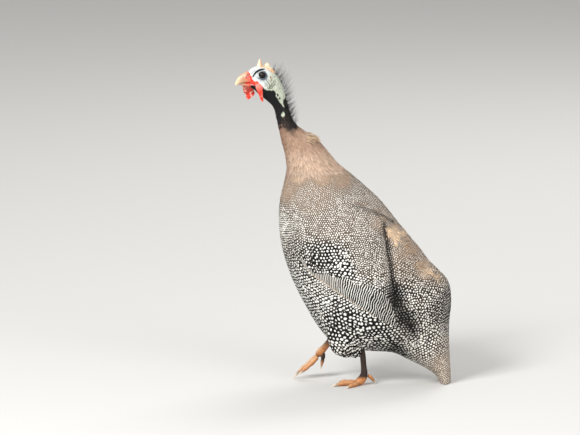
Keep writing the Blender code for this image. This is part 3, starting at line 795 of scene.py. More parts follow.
def staggered_roots(sheet, columns, q_span, p_span, aspect, least=0.0):
    """Roots in columns along the lie, each second column half a row on, as feathers grow.

    Their lattice tells the column and row of any place, smoothly from column to column.
    """
    step = (q_span[1] - q_span[0]) / columns
    closed = q_span[1] - q_span[0] > 6
    found, counts = [], np.zeros((columns, LATTICE_STEPS))
    line = np.linspace(*p_span, LATTICE_STEPS)
    q_of = q_span[0] + (np.arange(columns) + 0.5) * step
    margin = (p_span[1] - p_span[0]) * 0.25
    wide_line = np.linspace(p_span[0] - margin, p_span[1] + margin, LATTICE_STEPS)

    def rows_along(line, at_q):
        q = np.full(line.shape, at_q)
        _, _, pace_p, pace_q = sheet.at(line, q)
        spacing = np.maximum(aspect * pace_q * step, least)
        rate = pace_p / spacing
        return spacing, pace_q, np.concatenate(((0,), np.cumsum((rate[1:] + rate[:-1]) / 2 * np.diff(line))))

    for column, at_q in enumerate(q_of):
        spacing, pace_q, rows = rows_along(line, at_q)
        wanted = np.arange(0.5 * (column % 2), rows[-1], 1.0)
        root_p = np.interp(wanted, rows, line)
        width, gap = np.interp(root_p, line, pace_q * step), np.interp(root_p, line, spacing)
        same = np.ones(len(root_p))
        found.append(np.stack((root_p, at_q * same, width, gap, wanted, column * same), axis=1))
    p, q, width, spacing, row, column = np.concatenate(found).T
    halves = ((0.0, 0.25, 0.5), (0.5, 0.75, 1.0)) if closed else ((0.0, 0.5, 1.0),)
    for low, middle, high in halves:
        start = q_span[0] + middle * (q_span[1] - q_span[0])
        start_rows = rows_along(wide_line, start)[2]
        before = [j for j in range(columns)[::-1] if low <= (j + 0.5) / columns < middle]
        after = [j for j in range(columns) if middle <= (j + 0.5) / columns < high]
        for chosen in (before, after):
            counts[chosen] = square_rows(sheet, wide_line, start_rows, start, q_of[chosen])

    def rows_at(at_p, at_q):
        place = (at_q - q_span[0]) / step - 0.5
        left = np.floor(place).astype(int)
        left = left if closed else np.clip(left, 0, columns - 2)
        ahead = (at_p - wide_line[0]) / (wide_line[-1] - wide_line[0]) * (LATTICE_STEPS - 1)
        low = np.clip(np.floor(ahead), 0, LATTICE_STEPS - 2).astype(int)
        across, on = place - left, ahead - low
        left, right = left % columns, (left + 1) % columns
        rows = (1 - across) * ((1 - on) * counts[left, low] + on * counts[left, low + 1])
        return rows + across * ((1 - on) * counts[right, low] + on * counts[right, low + 1])

    def lattice(at_p, at_q):
        """Column, row and a column's width at each place, with the skew and height of the cell there."""
        small, rows = 0.006 * (p_span[1] - p_span[0]), rows_at(at_p, at_q)
        here, _, _, pace_q = sheet.at(at_p, at_q)
        ahead = sheet.at(at_p + small, at_q)[0] - here
        beside = sheet.at(at_p, at_q + 0.1 * step)[0] - here
        pace, reach = np.linalg.norm(ahead, axis=-1), np.linalg.norm(beside, axis=-1)
        slant = (ahead * beside).sum(axis=-1) / np.maximum(pace * reach, 1e-9)
        width = np.maximum(pace_q * step, 1.0)
        pitch = (pace / np.maximum(rows_at(at_p + small, at_q) - rows, 1e-3)).clip(0.2 * width, 6 * width)
        skew = rows_at(at_p, at_q + step / 2) - rows_at(at_p, at_q - step / 2) - slant * width / pitch
        width = width * np.sqrt(np.maximum(1 - slant**2, 0.2))
        return (at_q - q_span[0]) / step, rows, width, np.stack((skew, pitch / width, 0 * width), axis=-1)

    return SimpleNamespace(p=p, q=q, width=width, spacing=spacing, row=row, column=column, lattice=lattice)


def keep_roots(roots, keep):
    return SimpleNamespace(**{
        name: values if callable(values) else values[keep] for name, values in vars(roots).items()
    })


def lay_vanes(sheet, roots, vane, length, width, base, lift, camber, thickness, roll, twist, end=None):
    """Bends one vane over the sheet at each root. Arrays over roots may stand for each number.

    With an end, the vanes reach that p whatever the sheet's pace on the way.
    """
    def each(value):
        return np.broadcast_to(np.asarray(value, float), roots.p.shape)[:, None]

    p0, q0 = roots.p[:, None], roots.q[:, None]
    away, aside = vane.ahead * each(length), vane.side * each(width) / 2
    run = away * np.cos(each(twist)) - aside * np.sin(each(twist))
    drift = away * np.sin(each(twist)) + aside * np.cos(each(twist))
    _, _, pace_root, _ = sheet.at(p0, q0)
    _, _, pace_middle, _ = sheet.at(p0 + 0.5 * each(length) / pace_root, q0)
    p = p0 + run / pace_middle if end is None else p0 + run / each(length) * (each(end) - p0)
    _, _, _, pace_q = sheet.at(p, np.broadcast_to(q0, p.shape))
    q = q0 + drift / np.maximum(pace_q, 0.35 * each(width))
    points, normals, _, _ = sheet.at(p, q)
    rise = each(base) + each(lift) * (vane.ahead - 0.03 * vane.ahead**8)
    rise = rise - each(camber) * vane.side**2 + each(roll) * vane.side + vane.face * each(thickness) / 2
    points = points + normals * rise[..., None]
    points[..., 2] = np.maximum(points[..., 2], FLOOR_GAP)
    quads = vane.quads if sheet.outward > 0 else vane.quads[:, ::-1]
    seen = points[:, vane.ahead > 0.55].mean(axis=1)
    return SimpleNamespace(points=points, p=p, q=q, away=away, aside=aside, quads=quads, seen=seen,
                           rim=vane.face == 0, tip=vane.ahead > 0.55)


def joined_vanes(name, laid, values, unwrap, material, slot="plumage"):
    """One mesh of many vanes, with values by name for each vertex and places on the unwrap."""
    count, size = laid.points.shape[:2]
    quads = laid.quads[None] + np.arange(count)[:, None, None] * size
    mesh = bpy.data.meshes.new(name)
    mesh.from_pydata(to_metres(laid.points.reshape(-1, 3)), [], quads.reshape(-1, quads.shape[-1]))
    for value, array in values.items():
        set_value(mesh, value, array.reshape(-1, array.shape[-1]))
    corners = np.empty(len(mesh.loops), np.int32)
    mesh.loops.foreach_get("vertex_index", corners)
    places = unwrap.reshape(-1, 2)[corners].astype(np.float32)
    mesh.uv_layers.new(name="OFBake").data.foreach_set("uv", places.ravel())
    piece = linked(name, mesh, [material])
    ends = np.empty(len(mesh.edges) * 2, np.int32)
    mesh.edges.foreach_get("vertices", ends)
    sharp = np.tile(laid.rim, count)[ends].reshape(-1, 2).all(axis=1)
    mesh.attributes.new("sharp_edge", "BOOLEAN", "EDGE").data.foreach_set("value", sharp)
    settle(piece, slot)


def shaded_tones(y, z, tone, light, spot):
    """Painted shade in the furrow behind the wing and under the scapulars' edge; a painted highlight on the
    edge.
    """
    furrow, share = line_distance(y, z, WING_FURROW)
    crest, _ = line_distance(y, z, SCAPULAR_EDGE)
    under, _ = line_distance(y, z + SCAPULAR_SHADE_DROP, SCAPULAR_EDGE)
    # painted shade: darker along the furrow behind the wing and in a line under the scapulars' edge
    dark = np.maximum(hump(furrow, 3.2 + 9.0 * smooth_step(share, 0.35, 0.75)), 0.85 * hump(under, 1.8))
    # painted highlight: paler along the scapulars' edge
    tone = tone * (1 - dark) + 0.35 * hump(crest, 1.7)
    return np.clip(tone, 0, 1.1), light * (1 - 0.75 * dark), spot * (1 - 0.25 * dark)


def plumage_at(y, z):
    """Spacing, spot, stretch, lean, tone, warmth and lightness at side-view places."""
    y, z = np.asarray(y, float)[..., None], np.asarray(z, float)[..., None]
    centre_y, centre_z, reach = REGION_VALUES[:, :3].T
    weight = 1 / (0.02 + (((y - centre_y) ** 2 + (z - centre_z) ** 2) / reach**2) ** 2.2)
    weight /= weight.sum(axis=-1, keepdims=True)
    return np.moveaxis(weight @ REGION_VALUES[:, 3:], -1, 0)


def spotted_values(laid, roots, rng):
    """The values that a spotted vane's material reads, from where each vane lies."""
    spacing = plumage_at(laid.seen[:, 1], laid.seen[:, 2])[0]
    if hasattr(roots, "lattice"):
        column, row, width, cell = roots.lattice(laid.p, laid.q)
    else:
        column = roots.column[:, None] + laid.aside / roots.width[:, None]
        row = roots.row[:, None] + laid.away / roots.spacing[:, None]
        width = np.broadcast_to(roots.width[:, None], row.shape)
        cell = np.stack((0 * row, 0 * row + (roots.spacing / roots.width)[:, None], 0 * row), axis=-1)

    def spots_in(size):
        """How many spots, in halves, lie on one cell of the feathers' lattice."""
        fitting = 2 * size[:, laid.tip].mean(axis=1) / spacing + 0.05 * rng.normal(0, 1, len(roots.p))
        return np.clip(np.round(fitting) / 2, 1, 8)[:, None]

    across, ahead = spots_in(width), spots_in(width * cell[..., 1] / ROW_HEIGHT)
    cell = cell * np.stack(np.broadcast_arrays(ahead / across, across / ahead, 1.0), axis=-1)
    x, y, z = np.moveaxis(laid.points, -1, 0)
    _, spot, stretch, lean, tone, warmth, light = plumage_at(y, z)
    tone, light, spot = shaded_tones(y, z, tone, light, spot)
    chance = rng.random((len(roots.p), 1))
    tone = np.clip(tone + 0.10 * (chance - 0.5), 0, 1)
    return {
        "spots": np.stack((across * column, ahead * row, np.broadcast_to(chance, row.shape)), axis=-1),
        "mark": np.stack((spot, stretch, np.radians(lean) * np.sign(x)), axis=-1),
        "tones": np.stack((tone, warmth, light), axis=-1),
        "cell": cell,
    }


def unwrap_of(laid, p_span, q_span):
    """Each vane's patch, at its place on the sheet's own unwrap, a little smaller than the vane."""
    middle_p, middle_q = laid.p.mean(axis=1, keepdims=True), laid.q.mean(axis=1, keepdims=True)
    p, q = middle_p + (laid.p - middle_p) * PATCH_SHARE, middle_q + (laid.q - middle_q) * PATCH_SHARE
    u = 0.02 + 0.96 * np.clip((q - q_span[0]) / (q_span[1] - q_span[0]), -0.02, 1.02)
    v = 0.02 + 0.96 * np.clip((p - p_span[0]) / (p_span[1] - p_span[0]), -0.02, 1.02)
    return np.stack((u, v), axis=-1)


# ---------------------------------------------------------------- materials


class Maker:
    """Adds nodes to a tree. Numbers and sockets are given alike."""

    def __init__(self, tree):
        self.tree = tree

    def feed(self, socket, value):
        if isinstance(value, bpy.types.NodeSocket):
            self.tree.links.new(value, socket)
        else:
            socket.default_value = value

    def add(self, kind, inputs, **settings):
        node = self.tree.nodes.new(kind)
        for name, value in settings.items():
            setattr(node, name, value)
        for name, value in inputs.items():
            self.feed(node.inputs[name], value)
        return node

    def math(self, operation, *values):
        return self.add("ShaderNodeMath", dict(enumerate(values)), operation=operation).outputs[0]

    def times(self, first, second):
        return self.math("MULTIPLY", first, second)

    def plus(self, first, second):
        return self.math("ADD", first, second)

    def minus(self, first, second):
        return self.math("SUBTRACT", first, second)

    def scaled(self, value, factor, offset):
        return self.math("MULTIPLY_ADD", value, factor, offset)

    def vector(self, operation, *values):
        return self.add("ShaderNodeVectorMath", dict(enumerate(values)), operation=operation).outputs[0]

    def mix(self, share, first, second):
        return self.add("ShaderNodeMix", {0: share, 6: first, 7: second}, data_type="RGBA").outputs[2]

    def toned(self, colour, value, saturation=1.0):
        inputs = {"Color": colour, "Value": value, "Saturation": saturation}
        return self.add("ShaderNodeHueSaturation", inputs).outputs[0]

    def value(self, name, output="Fac"):
        return self.add("ShaderNodeAttribute", {}, attribute_name=name).outputs[output]

    def parts(self, vector):
        return self.add("ShaderNodeSeparateXYZ", {0: vector}).outputs

    def joined(self, *values):
        return self.add("ShaderNodeCombineXYZ", dict(enumerate(values))).outputs[0]

    def noise(self, place, scale, detail=2.0, output="Fac"):
        inputs = {"Vector": place, "Scale": scale, "Detail": detail}
        return self.add("ShaderNodeTexNoise", inputs).outputs[output]

    def ranged(self, value, low, high, to_low=0.0, to_high=1.0):
        inputs = {0: value, 1: low, 2: high, 3: to_low, 4: to_high}
        return self.add("ShaderNodeMapRange", inputs, interpolation_type="SMOOTHSTEP").outputs[0]

    def place(self):
        return self.add("ShaderNodeTexCoord", {}).outputs["Object"]


def effect(name, inputs, outputs, fill):
    """A node group, made once: fill gets a Maker and the group's inputs and returns its outputs by name."""
    group = bpy.data.node_groups.get(name)
    if group:
        return group
    group = bpy.data.node_groups.new(name, "ShaderNodeTree")
    for socket, (kind, default) in inputs.items():
        made = group.interface.new_socket(name=socket, in_out="INPUT", socket_type=kind)
        if default is not None:
            made.default_value = default
    for socket, kind in outputs.items():
        group.interface.new_socket(name=socket, in_out="OUTPUT", socket_type=kind)
    start = group.nodes.new("NodeGroupInput")
    end = group.nodes.new("NodeGroupOutput")
    maker = Maker(group)
    for socket, value in fill(maker, start.outputs).items():
        maker.feed(end.inputs[socket], value)
    return group


def use(maker, group, **inputs):
    node = maker.tree.nodes.new("ShaderNodeGroup")
    node.node_tree = group
    for name, value in inputs.items():
        maker.feed(node.inputs[name.replace("_", " ")], value)
    return node.outputs


FLOAT, VECTOR, COLOUR = "NodeSocketFloat", "NodeSocketVector", "NodeSocketColor"


def spots_effect():
    """White spots in staggered rows, each a little off its place, stretched and leaning as marked."""

    def fill(m, given):
        u, v, _ = m.parts(given["Spots"])
        spot, stretch, lean = m.parts(given["Mark"])
        skew, height, _ = m.parts(given["Cell"])
        ripple_u, ripple_v, _ = m.parts(m.noise(m.place(), given["Ripple Scale"], 0.0, "Color"))
        u = m.scaled(m.minus(ripple_u, 0.5), given["Ripple"], u)
        v = m.scaled(m.minus(ripple_v, 0.5), given["Ripple"], v)
        row = m.math("FLOOR", v)
        u = m.scaled(m.math("FLOORED_MODULO", row, 2.0), 0.5, u)
        column = m.math("FLOOR", u)
        chance = m.add("ShaderNodeTexWhiteNoise", {"Vector": m.joined(column, row, 3.0)})
        shake_u, shake_v, shake_size = m.parts(chance.outputs["Color"])
        off_u = m.minus(m.minus(u, column), 0.5)
        off_u = m.minus(off_u, m.times(m.minus(shake_u, 0.5), given["Shake"]))
        off_v = m.minus(m.minus(v, row), 0.5)
        off_v = m.times(m.minus(off_v, m.times(skew, off_u)), height)
        off_v = m.minus(off_v, m.times(m.minus(shake_v, 0.5), given["Shake"]))
        c, s = m.math("COSINE", lean), m.math("SINE", lean)
        long_way = m.math("DIVIDE", m.plus(m.times(off_u, c), m.times(off_v, s)), stretch)
        cross_way = m.minus(m.times(off_v, c), m.times(off_u, s))
        distance = m.plus(m.math("POWER", long_way, 2.0), m.math("POWER", cross_way, 2.0))
        wobble = m.scaled(m.noise(m.joined(u, v, 0.0), 2.2, 2.0), 0.5, 0.75)
        distance = m.times(m.math("SQRT", distance), wobble)
        size = m.times(spot, m.scaled(shake_size, 0.5, 0.75))
        rim = m.plus(size, given["Softness"])
        mask = m.ranged(distance, rim, m.minus(size, given["Softness"]))
        return {"Mask": mask, "Ring": m.ranged(distance, rim, m.plus(rim, 0.16), 1.0, 0.0)}

    return effect(
        "spots",
        {"Spots": (VECTOR, None), "Mark": (VECTOR, None), "Cell": (VECTOR, None), "Shake": (FLOAT, 0.16),
         "Softness": (FLOAT, 0.05), "Ripple": (FLOAT, 0.7), "Ripple Scale": (FLOAT, 85.0)},
        {"Mask": FLOAT, "Ring": FLOAT},
        fill,
    )


def tones_effect():
    """Ground and spot colours of the plumage from its tones: ground, warmth and lightness."""

    def fill(m, given):
        tone, warmth, light = m.parts(given["Tones"])
        fleck = m.noise(given["Spots"], 9.0, 3.0)
        grey = m.mix(warmth, given["Grey"], given["Tan"])
        grey = m.mix(m.ranged(warmth, 0.8, 1.3), grey, given["Buff"])
        share = m.times(tone, m.ranged(fleck, 0.2, 0.75, 0.55, 1.15))
        ringed = m.times(given["Ring"], m.ranged(warmth, 0.6, 1.1, 0.7, 0.0))
        ground = m.mix(m.times(share, m.minus(1.0, ringed)), given["Black"], grey)
        spot = m.mix(m.times(warmth, 0.45), given["White"], given["Buff"])
        spot = m.mix(m.minus(1.0, light), spot, ground)
        return {"Ground": ground, "Spot": m.mix(m.ranged(fleck, 0.3, 0.8, 0.0, 0.22), spot, ground)}

    inputs = {"Tones": (VECTOR, None), "Spots": (VECTOR, None), "Ring": (FLOAT, 0.0)}
    inputs.update({name: (COLOUR, None) for name in ("Black", "Grey", "Tan", "White", "Buff")})
    return effect("plumage_tones", inputs, {"Ground": COLOUR, "Spot": COLOUR}, fill)


def barbs_effect():
    """The fine ridges of barbs that run aslant from a vane's shaft."""

    def fill(m, given):
        u, v, chance = m.parts(given["Spots"])
        slant = m.scaled(m.math("ABSOLUTE", m.minus(m.math("FRACT", u), 0.5)), 1.6, v)
        ridge = m.math("SINE", m.times(slant, given["Count"]))
        split = m.noise(m.joined(m.times(u, 3.0), slant, chance), 3.0, 3.0)
        return {"Height": m.scaled(ridge, 0.3, split)}

    return effect("barbs", {"Spots": (VECTOR, None), "Count": (FLOAT, 40.0)}, {"Height": FLOAT}, fill)


def new_material(name, roughness, specular=0.5):
    material = bpy.data.materials.new(name)
    material.use_nodes = True
    shader = material.node_tree.nodes["Principled BSDF"]
    shader.inputs["Roughness"].default_value = roughness
    shader.inputs["Specular IOR Level"].default_value = specular
    return material, Maker(material.node_tree), shader


def add_bump(m, shader, height, strength, distance):
    bump = m.add("ShaderNodeBump", {"Height": height, "Strength": strength, "Distance": distance * MM})
    m.feed(shader.inputs["Normal"], bump.outputs[0])


def plumage_colours(m, coat):
    """The spotted colour of the coat, for vanes and for the skin under them."""
    spots = m.value("spots", "Vector")
    marks = use(m, spots_effect(), Spots=spots, Mark=m.value("mark", "Vector"),
                Cell=m.value("cell", "Vector"), Shake=coat.spot_shake, Softness=coat.spot_softness)
    own = {name: (*getattr(coat, name.lower()), 1) for name in ("Black", "Grey", "Tan", "White", "Buff")}
    tones = use(m, tones_effect(), Tones=m.value("tones", "Vector"), Spots=spots, Ring=marks["Ring"], **own)
    return m.mix(marks["Mask"], tones["Ground"], tones["Spot"])


def spotted_material(coat):
    """The one material of all spotted vanes, made once."""
    name = "spotted_feathers"
    material = bpy.data.materials.get(name)
    if material:
        return material
    material, m, shader = new_material(name, 0.62, 0.12)
    m.feed(shader.inputs["Base Color"], plumage_colours(m, coat))
    barbs = use(m, barbs_effect(), Spots=m.value("spots", "Vector"))["Height"]
    m.feed(shader.inputs["Roughness"], m.ranged(barbs, 0.0, 1.0, 0.52, 0.74))
    add_bump(m, shader, barbs, 0.35, 0.18)
    return material


def plain_vane_material(name, roughness=0.72):
    """Unspotted feathers: their own colour, streaked along the vane."""
    material, m, shader = new_material(name, roughness, 0.22)
    base = m.value("base", "Color")
    u, v, chance = m.parts(m.value("spots", "Vector"))
    streak = m.noise(m.joined(m.times(u, 7.0), m.times(v, 0.8), chance), 2.4, 3.0)
    dark = m.toned(base, 0.55)
    m.feed(shader.inputs["Base Color"], m.mix(m.ranged(streak, 0.46, 0.74, 0.0, 0.6), base, dark))
    m.feed(shader.inputs["Roughness"], m.ranged(streak, 0.2, 0.8, roughness - 0.1, roughness + 0.12))
    add_bump(m, shader, streak, 0.5, 0.25)
    return material


def skin_material(coat):
    material, m, shader = new_material("skin", 0.5, 0.22)
    own = m.value("base", "Color")
    place = m.place()
    mottle = m.noise(place, 260.0, 4.0)
    bare = m.mix(m.ranged(mottle, 0.48, 0.75, 0.0, 0.55), own, m.toned(own, 0.62, 1.15))
    m.feed(shader.inputs["Base Color"], m.mix(m.value("coated"), bare, plumage_colours(m, coat)))
    pores = m.add("ShaderNodeTexVoronoi", {"Vector": place, "Scale": 1500.0}).outputs["Distance"]
    fine = m.scaled(m.noise(place, 1100.0, 3.0), 0.7, pores)
    m.feed(shader.inputs["Roughness"], m.scaled(fine, 0.16, m.value("dull")))
    add_bump(m, shader, fine, 0.55, 0.28)
    return material


def horn_material(name, roughness, streak_scale, dark_share):
    """Horn in its own colours, with growth streaks and a worn sheen."""
    material, m, shader = new_material(name, roughness)
    own = m.value("base", "Color")
    streak = m.noise(m.vector("MULTIPLY", m.place(), streak_scale), 1.0, 4.0)
    share = m.ranged(streak, 0.45, 0.75, 0.0, dark_share)
    m.feed(shader.inputs["Base Color"], m.mix(share, own, m.toned(own, 0.55, 1.2)))
    m.feed(shader.inputs["Roughness"], m.ranged(streak, 0.3, 0.7, roughness - 0.08, roughness + 0.14))
    add_bump(m, shader, streak, 0.4, 0.22)
    return material


def eye_material():
    material, m, shader = new_material("eye", 0.06, 0.22)
    own = m.value("base", "Color")
    fibre = m.noise(m.vector("MULTIPLY", m.place(), (500, 2600, 2600)), 1.0, 3.0)
    m.feed(shader.inputs["Base Color"], m.mix(m.ranged(fibre, 0.45, 0.7), own, m.toned(own, 1.6)))
    m.feed(shader.inputs["Roughness"], m.ranged(fibre, 0.2, 0.8, 0.04, 0.09))
    shader.inputs["Coat Weight"].default_value = 0.15
    shader.inputs["Coat Roughness"].default_value = 0.02
    return material


# ---------------------------------------------------------------- skin


def head_relief(points):
    """How far the bare head's skin stands out at points before the turn, with its colours and roughness."""
    x, y, z = points.T
    aside = smooth_step(np.abs(x), 3.5, 7.5)
    tilt = math.radians(-8)
    eye_y, eye_z = y - EYE_CENTRE[1], z - EYE_CENTRE[2]
    ring = np.hypot((eye_y * math.cos(tilt) + eye_z * math.sin(tilt)) / 1.10,
                    (eye_z * math.cos(tilt) - eye_y * math.sin(tilt)) / 0.95)
    near_eye = aside * (ring < 16)
    lid = hump(ring - 5.6, 0.9) * near_eye
    rise = 1.25 * lid - 2.8 * (1 - smooth_step(ring, 3.6, 4.5)) * near_eye
    rise += 0.4 * hump(ring - 7.7, 0.55) * near_eye * smooth_step(-eye_z, -2, 3)
    rise -= 0.3 * hump(ring - 6.9, 0.4) * near_eye

    brow, brow_share = line_distance(y, z, BROW_LINE)
    rise += 0.8 * hump(brow, 1.2) * aside
    # groove: depth of the creases, folds and the nape's hollows; it sinks the skin and is painted as shade
    groove = np.zeros(len(x))
    for line in CREASES:
        distance, _ = line_distance(y, z, line)
        groove += hump(distance, 0.5) * aside
    bent_y = y + 1.3 * rough(points, 2.2, 5.0)
    for line in CHEEK_FOLDS:
        distance, _ = line_distance(bent_y, z, line)
        rise += 0.55 * hump(distance, 1.0) * aside
        groove += 0.9 * hump(distance - 1.75, 0.45) * aside
    gape, _ = line_distance(y, z, GAPE_LINE)
    rise -= 0.9 * hump(gape, 0.6) * aside
    red = np.zeros(len(x))
    for blob_y, blob_z, size in RED_BLOBS:
        blob = np.hypot(y - blob_y, z - blob_z) + 0.7 * rough(points, 1.3, 7.0)
        rise += 0.45 * hump(blob, size * 0.7)
        red = np.maximum(red, 1 - smooth_step(blob, size * 0.85, size * 1.12))
    ear = np.zeros(len(x))
    for ear_y, ear_z, size in EAR_PITS:
        pit = np.hypot(y - ear_y, (z - ear_z) * 0.8)
        rise += (0.45 * hump(pit - size - 0.8, 0.6) - 1.5 * hump(pit, size * 0.75)) * aside
        ear = np.maximum(ear, hump(pit, size * 0.9) * aside)

    jagged = 0.7 * wavy(points, 1.1) + 0.8 * rough(points, 1.8, 8.0)
    black_depth = depth_inside(y, z, BLACK_EDGE) + jagged
    for notch_y, notch_z in BLACK_NOTCHES:
        black_depth = np.maximum(black_depth, 1.5 + jagged - np.hypot(y - notch_y, (z - notch_z) * 0.7))
    down_nape = y * 0.48 - z * 0.88
    nape = smooth_step(down_nape, -492, -482) * smooth_step(-black_depth, 0, 2)
    folds = np.sin(2 * math.pi * down_nape / 3.4 + 4.0 * rough(points, 2.8))
    cobbles = 0.6 * rough(points, 1.2, 2.0) + 0.5 * rough(points, 0.7, 6.0)
    rise += nape * (0.16 * folds + 0.48 * cobbles)
    groove += nape * np.clip(-0.25 * folds - 0.9 * cobbles - 0.1, 0, 1)
    cheek = hump(np.hypot(y + 134, (z - 468) * 1.1), 7.5) * aside
    creased = rough(points, 2.3, 4.0)
    rise += 0.3 * cheek * creased
    groove += cheek * np.clip(-1.0 * creased - 0.3, 0, 1)
    rise += 0.10 * wavy(points, 1.3) - 0.4 * groove

    back = smooth_step(y - 0.35 * (z - 470), -146, -134)
    around = near_eye * (1 - smooth_step(ring + 0.3 * rough(points, 1.2) + 0.05 * eye_z, 7.0, 8.2))
    corner = smooth_step(-eye_y - 0.5 * eye_z, 3.6, 5.4) * (1 - smooth_step(-eye_z, 2.5, 4.5))
    behind = smooth_step(0.5 * eye_y - eye_z, -7.0, -3.0)
    brow_width = 0.30 + 1.0 * np.sin(math.pi * (0.12 + 0.74 * brow_share))
    smudge = np.hypot((y + 160.4) / 1.5, z - 481.6)
    patch = np.hypot((y - NECK_PATCH[0]) / NECK_PATCH_HALF[0], (z - NECK_PATCH[1]) / NECK_PATCH_HALF[1])
    patch = patch + 0.15 * wavy(points, 0.8)
    black = smooth_step(black_depth, -0.3, 0.5) * (1 - red)
    black = black * (1 - (1 - smooth_step(patch, 0.85, 1.1)) * smooth_step(np.abs(x), 3, 5))
    colours = painted(
        points, "white_skin",
        (0.8 * back, "nape_skin"),
        # painted shade in the creases, folds and hollows
        (0.85 * np.clip(groove, 0, 1), "crease_shade"),
        (0.97 * around * (1 - 0.9 * corner) * behind, "lid"),
        (0.35 * around * (1 - behind), "lid"),
        (0.5 * hump(ring - 9.0, 0.6) * near_eye * smooth_step(-eye_z, -1, 3), "lid"),
        ((1 - smooth_step(brow, brow_width - 0.1, brow_width + 0.6)) * aside, "black_skin"),
        (0.85 * hump(smudge, 1.0) * aside, "black_skin"),
        ((1 - smooth_step(ring, 4.8, 5.4)) * near_eye, "black_skin"),
        (red, "red"),
        # painted highlights: pale pink scattered over the red skin
        (red * 0.4 * smooth_step(wavy(points, 0.7, 5.0), 0.2, 0.8), "pink"),
        (ear, "ear"),
        (black, "black_skin"),
    )
    dull = 0.42 + 0.25 * black - 0.14 * red
    return rise, colours, dull


def ring_steps(sizes):
    """Stations of the skin's rings: close together on the bare head, wider apart under the coat."""
    t = np.linspace(0, SKIN_END, 3000)
    paces = [
        np.linalg.norm(np.gradient(body_points(t, np.full(t.shape, angle)), t, axis=0), axis=1)
        for angle in (0, math.pi / 2)
    ]
    under_coat = smooth_step(t, STATION["neck_top"], STATION["neck_base"])
    grain = sizes.head_grain / MM
    rate = np.maximum(*paces) / (grain + (COATED_GRAIN - grain) * under_coat)
    count = np.concatenate(((0,), np.cumsum((rate[1:] + rate[:-1]) / 2 * np.diff(t))))
    return np.interp(np.linspace(0, count[-1], int(count[-1])), count, t)


def coated_values(points, t, angle):
    """The spots' lattice and tones on the skin, from the same regions as the coat's."""
    _, spot, stretch, lean, tone, warmth, light = plumage_at(points[:, 1], points[:, 2])
    way = np.interp(t, STATION_STEPS, STATION_WAY)
    column, row = angle / (2 * math.pi) * SKIN_SPOT_COLUMNS, way / SKIN_SPOT_ROW
    return {
        "spots": np.stack((column, row, np.zeros(len(t))), axis=1),
        "mark": np.stack((spot, stretch, np.radians(lean) * np.sign(points[:, 0])), axis=1),
        "cell": np.tile(PLAIN_CELL, (len(t), 1)),
        "tones": np.stack((tone * 0.6, warmth, light * 0.7), axis=1),
    }


def body_skin(sizes, coat):
    """The skin of head, neck, trunk, wings and tail before it is joined to legs and wattles."""
    steps = ring_steps(sizes)

    def station_at(share):
        return np.interp(share, np.linspace(0, 1, len(steps)), steps)

    def place(share, angle):
        return body_points(station_at(share), angle)

    def near_eye(place):
        _, eye_y, eye_z = EYE_CENTRE
        return abs(place.x) > 6 and math.hypot(place.y - eye_y, place.z - eye_z) < FINE_ROUND_EYE

    bm = wrapped_grid(len(steps), sizes.skin_segments, place)
    around_eye = [edge for edge in bm.edges if near_eye(edge.verts[0].co)]
    bmesh.ops.subdivide_edges(bm, edges=around_eye, cuts=1, use_grid_fill=True)
    t = station_at(steps_of(bm))
    points, normals = bm_points(bm), bm_normals(bm)
    top_y, top_z, bottom_y, bottom_z, half = along(BODY, t).T
    centre = np.stack((0 * t, (top_y + bottom_y) / 2, (top_z + bottom_z) / 2), axis=1)
    height_y, height_z = top_y - bottom_y, top_z - bottom_z
    upright = (points[:, 1] - centre[:, 1]) * height_y + (points[:, 2] - centre[:, 2]) * height_z
    angle = np.arctan2(points[:, 0] / half, upright / (height_y**2 + height_z**2) * 2)
    bare = 1 - smooth_step(t, STATION["neck_high"], STATION["cape_high"])
    rise, colours, dull = head_relief(points)
    depth = 0.5 * smooth_step(t, 7.5, 9) + (coat.depth / MM - 0.5) * smooth_step(t, STATION["collar"], 14)
    wing = smooth_step(depth_inside(points[:, 1], points[:, 2], WING_OUTLINE), -2, 16)
    rise = rise * bare - depth - furrows(points) + wing * (WING_PROUD - 2.5)
    thinner = 1 - 0.55 * smooth_step(t, STATION["tail_root"] - 1, SKIN_END)
    lifted = centre + (points + normals * rise[:, None] - centre) * thinner[:, None]
    lifted = turned(lifted, turn_share(t))
    move_points(bm, lifted)
    caped = smooth_step(t, STATION["neck_middle"], STATION["collar"])
    colours = colours + caped[:, None] * (0.8 * cape_colours(points) - colours)
    coated = smooth_step(t, STATION["neck_base"], STATION["shoulder"])
    source = {"points": lifted, "base": colours, "dull": 0.3 * coated + dull * (1 - coated), "coated": coated,
              **coated_values(points, t, angle)}
    return plain_object("skin", bm), source


def bare_source(points, colours, dull):
    """The same values for a part of the skin that has no coat."""
    zeros = np.zeros((len(points), 3))
    return {"points": points, "base": colours, "dull": zeros[:, 0] + dull, "coated": zeros[:, 0],
            "cell": zeros + PLAIN_CELL, "spots": zeros, "mark": zeros + (0.2, 1, 0), "tones": zeros}


def wattle_skin(name, table, faces, crumple):
    """One wattle: a folded flap, pink where it leaves the gape, with painted highlights of pink on its folds'
    crests.
    """
    table = number_table([(turned(centre), *size) for centre, *size in table])
    bm = wrapped_grid(56, 36, lambda step, angle: tube_points(table, step, angle, faces, TUBE_ENDS))
    points, normals, share = bm_points(bm), bm_normals(bm), steps_of(bm)
    facing = np.array(faces) / np.linalg.norm(faces)
    flat = points - np.outer(points @ facing, facing)
    fold = rough(flat, 1.9, 2.0)
    points = points + normals * (0.16 * rough(points, 0.9, 3.0) + 0.08 * wavy(points, 0.5, 1.0))[:, None]
    drift = np.stack((0 * fold, wavy(flat, 1.6, 5.0), wavy(flat, 1.5, 9.0)), axis=1)
    points += crumple * (fold[:, None] * facing + 0.55 * drift)
    move_points(bm, points)
    colours = painted(
        points, "red",
        (0.32 * smooth_step(share, 0.05, 0.2) * (1 - smooth_step(share, 0.2, 0.5)), "pink"),
        # painted highlight: pink on the crests of the folds
        ((0.30 + 0.60 * (crumple > 1)) * smooth_step(fold, 0.18, 0.45), "pink"),
    )
    return plain_object(name, bm), bare_source(points, colours, 0.26)


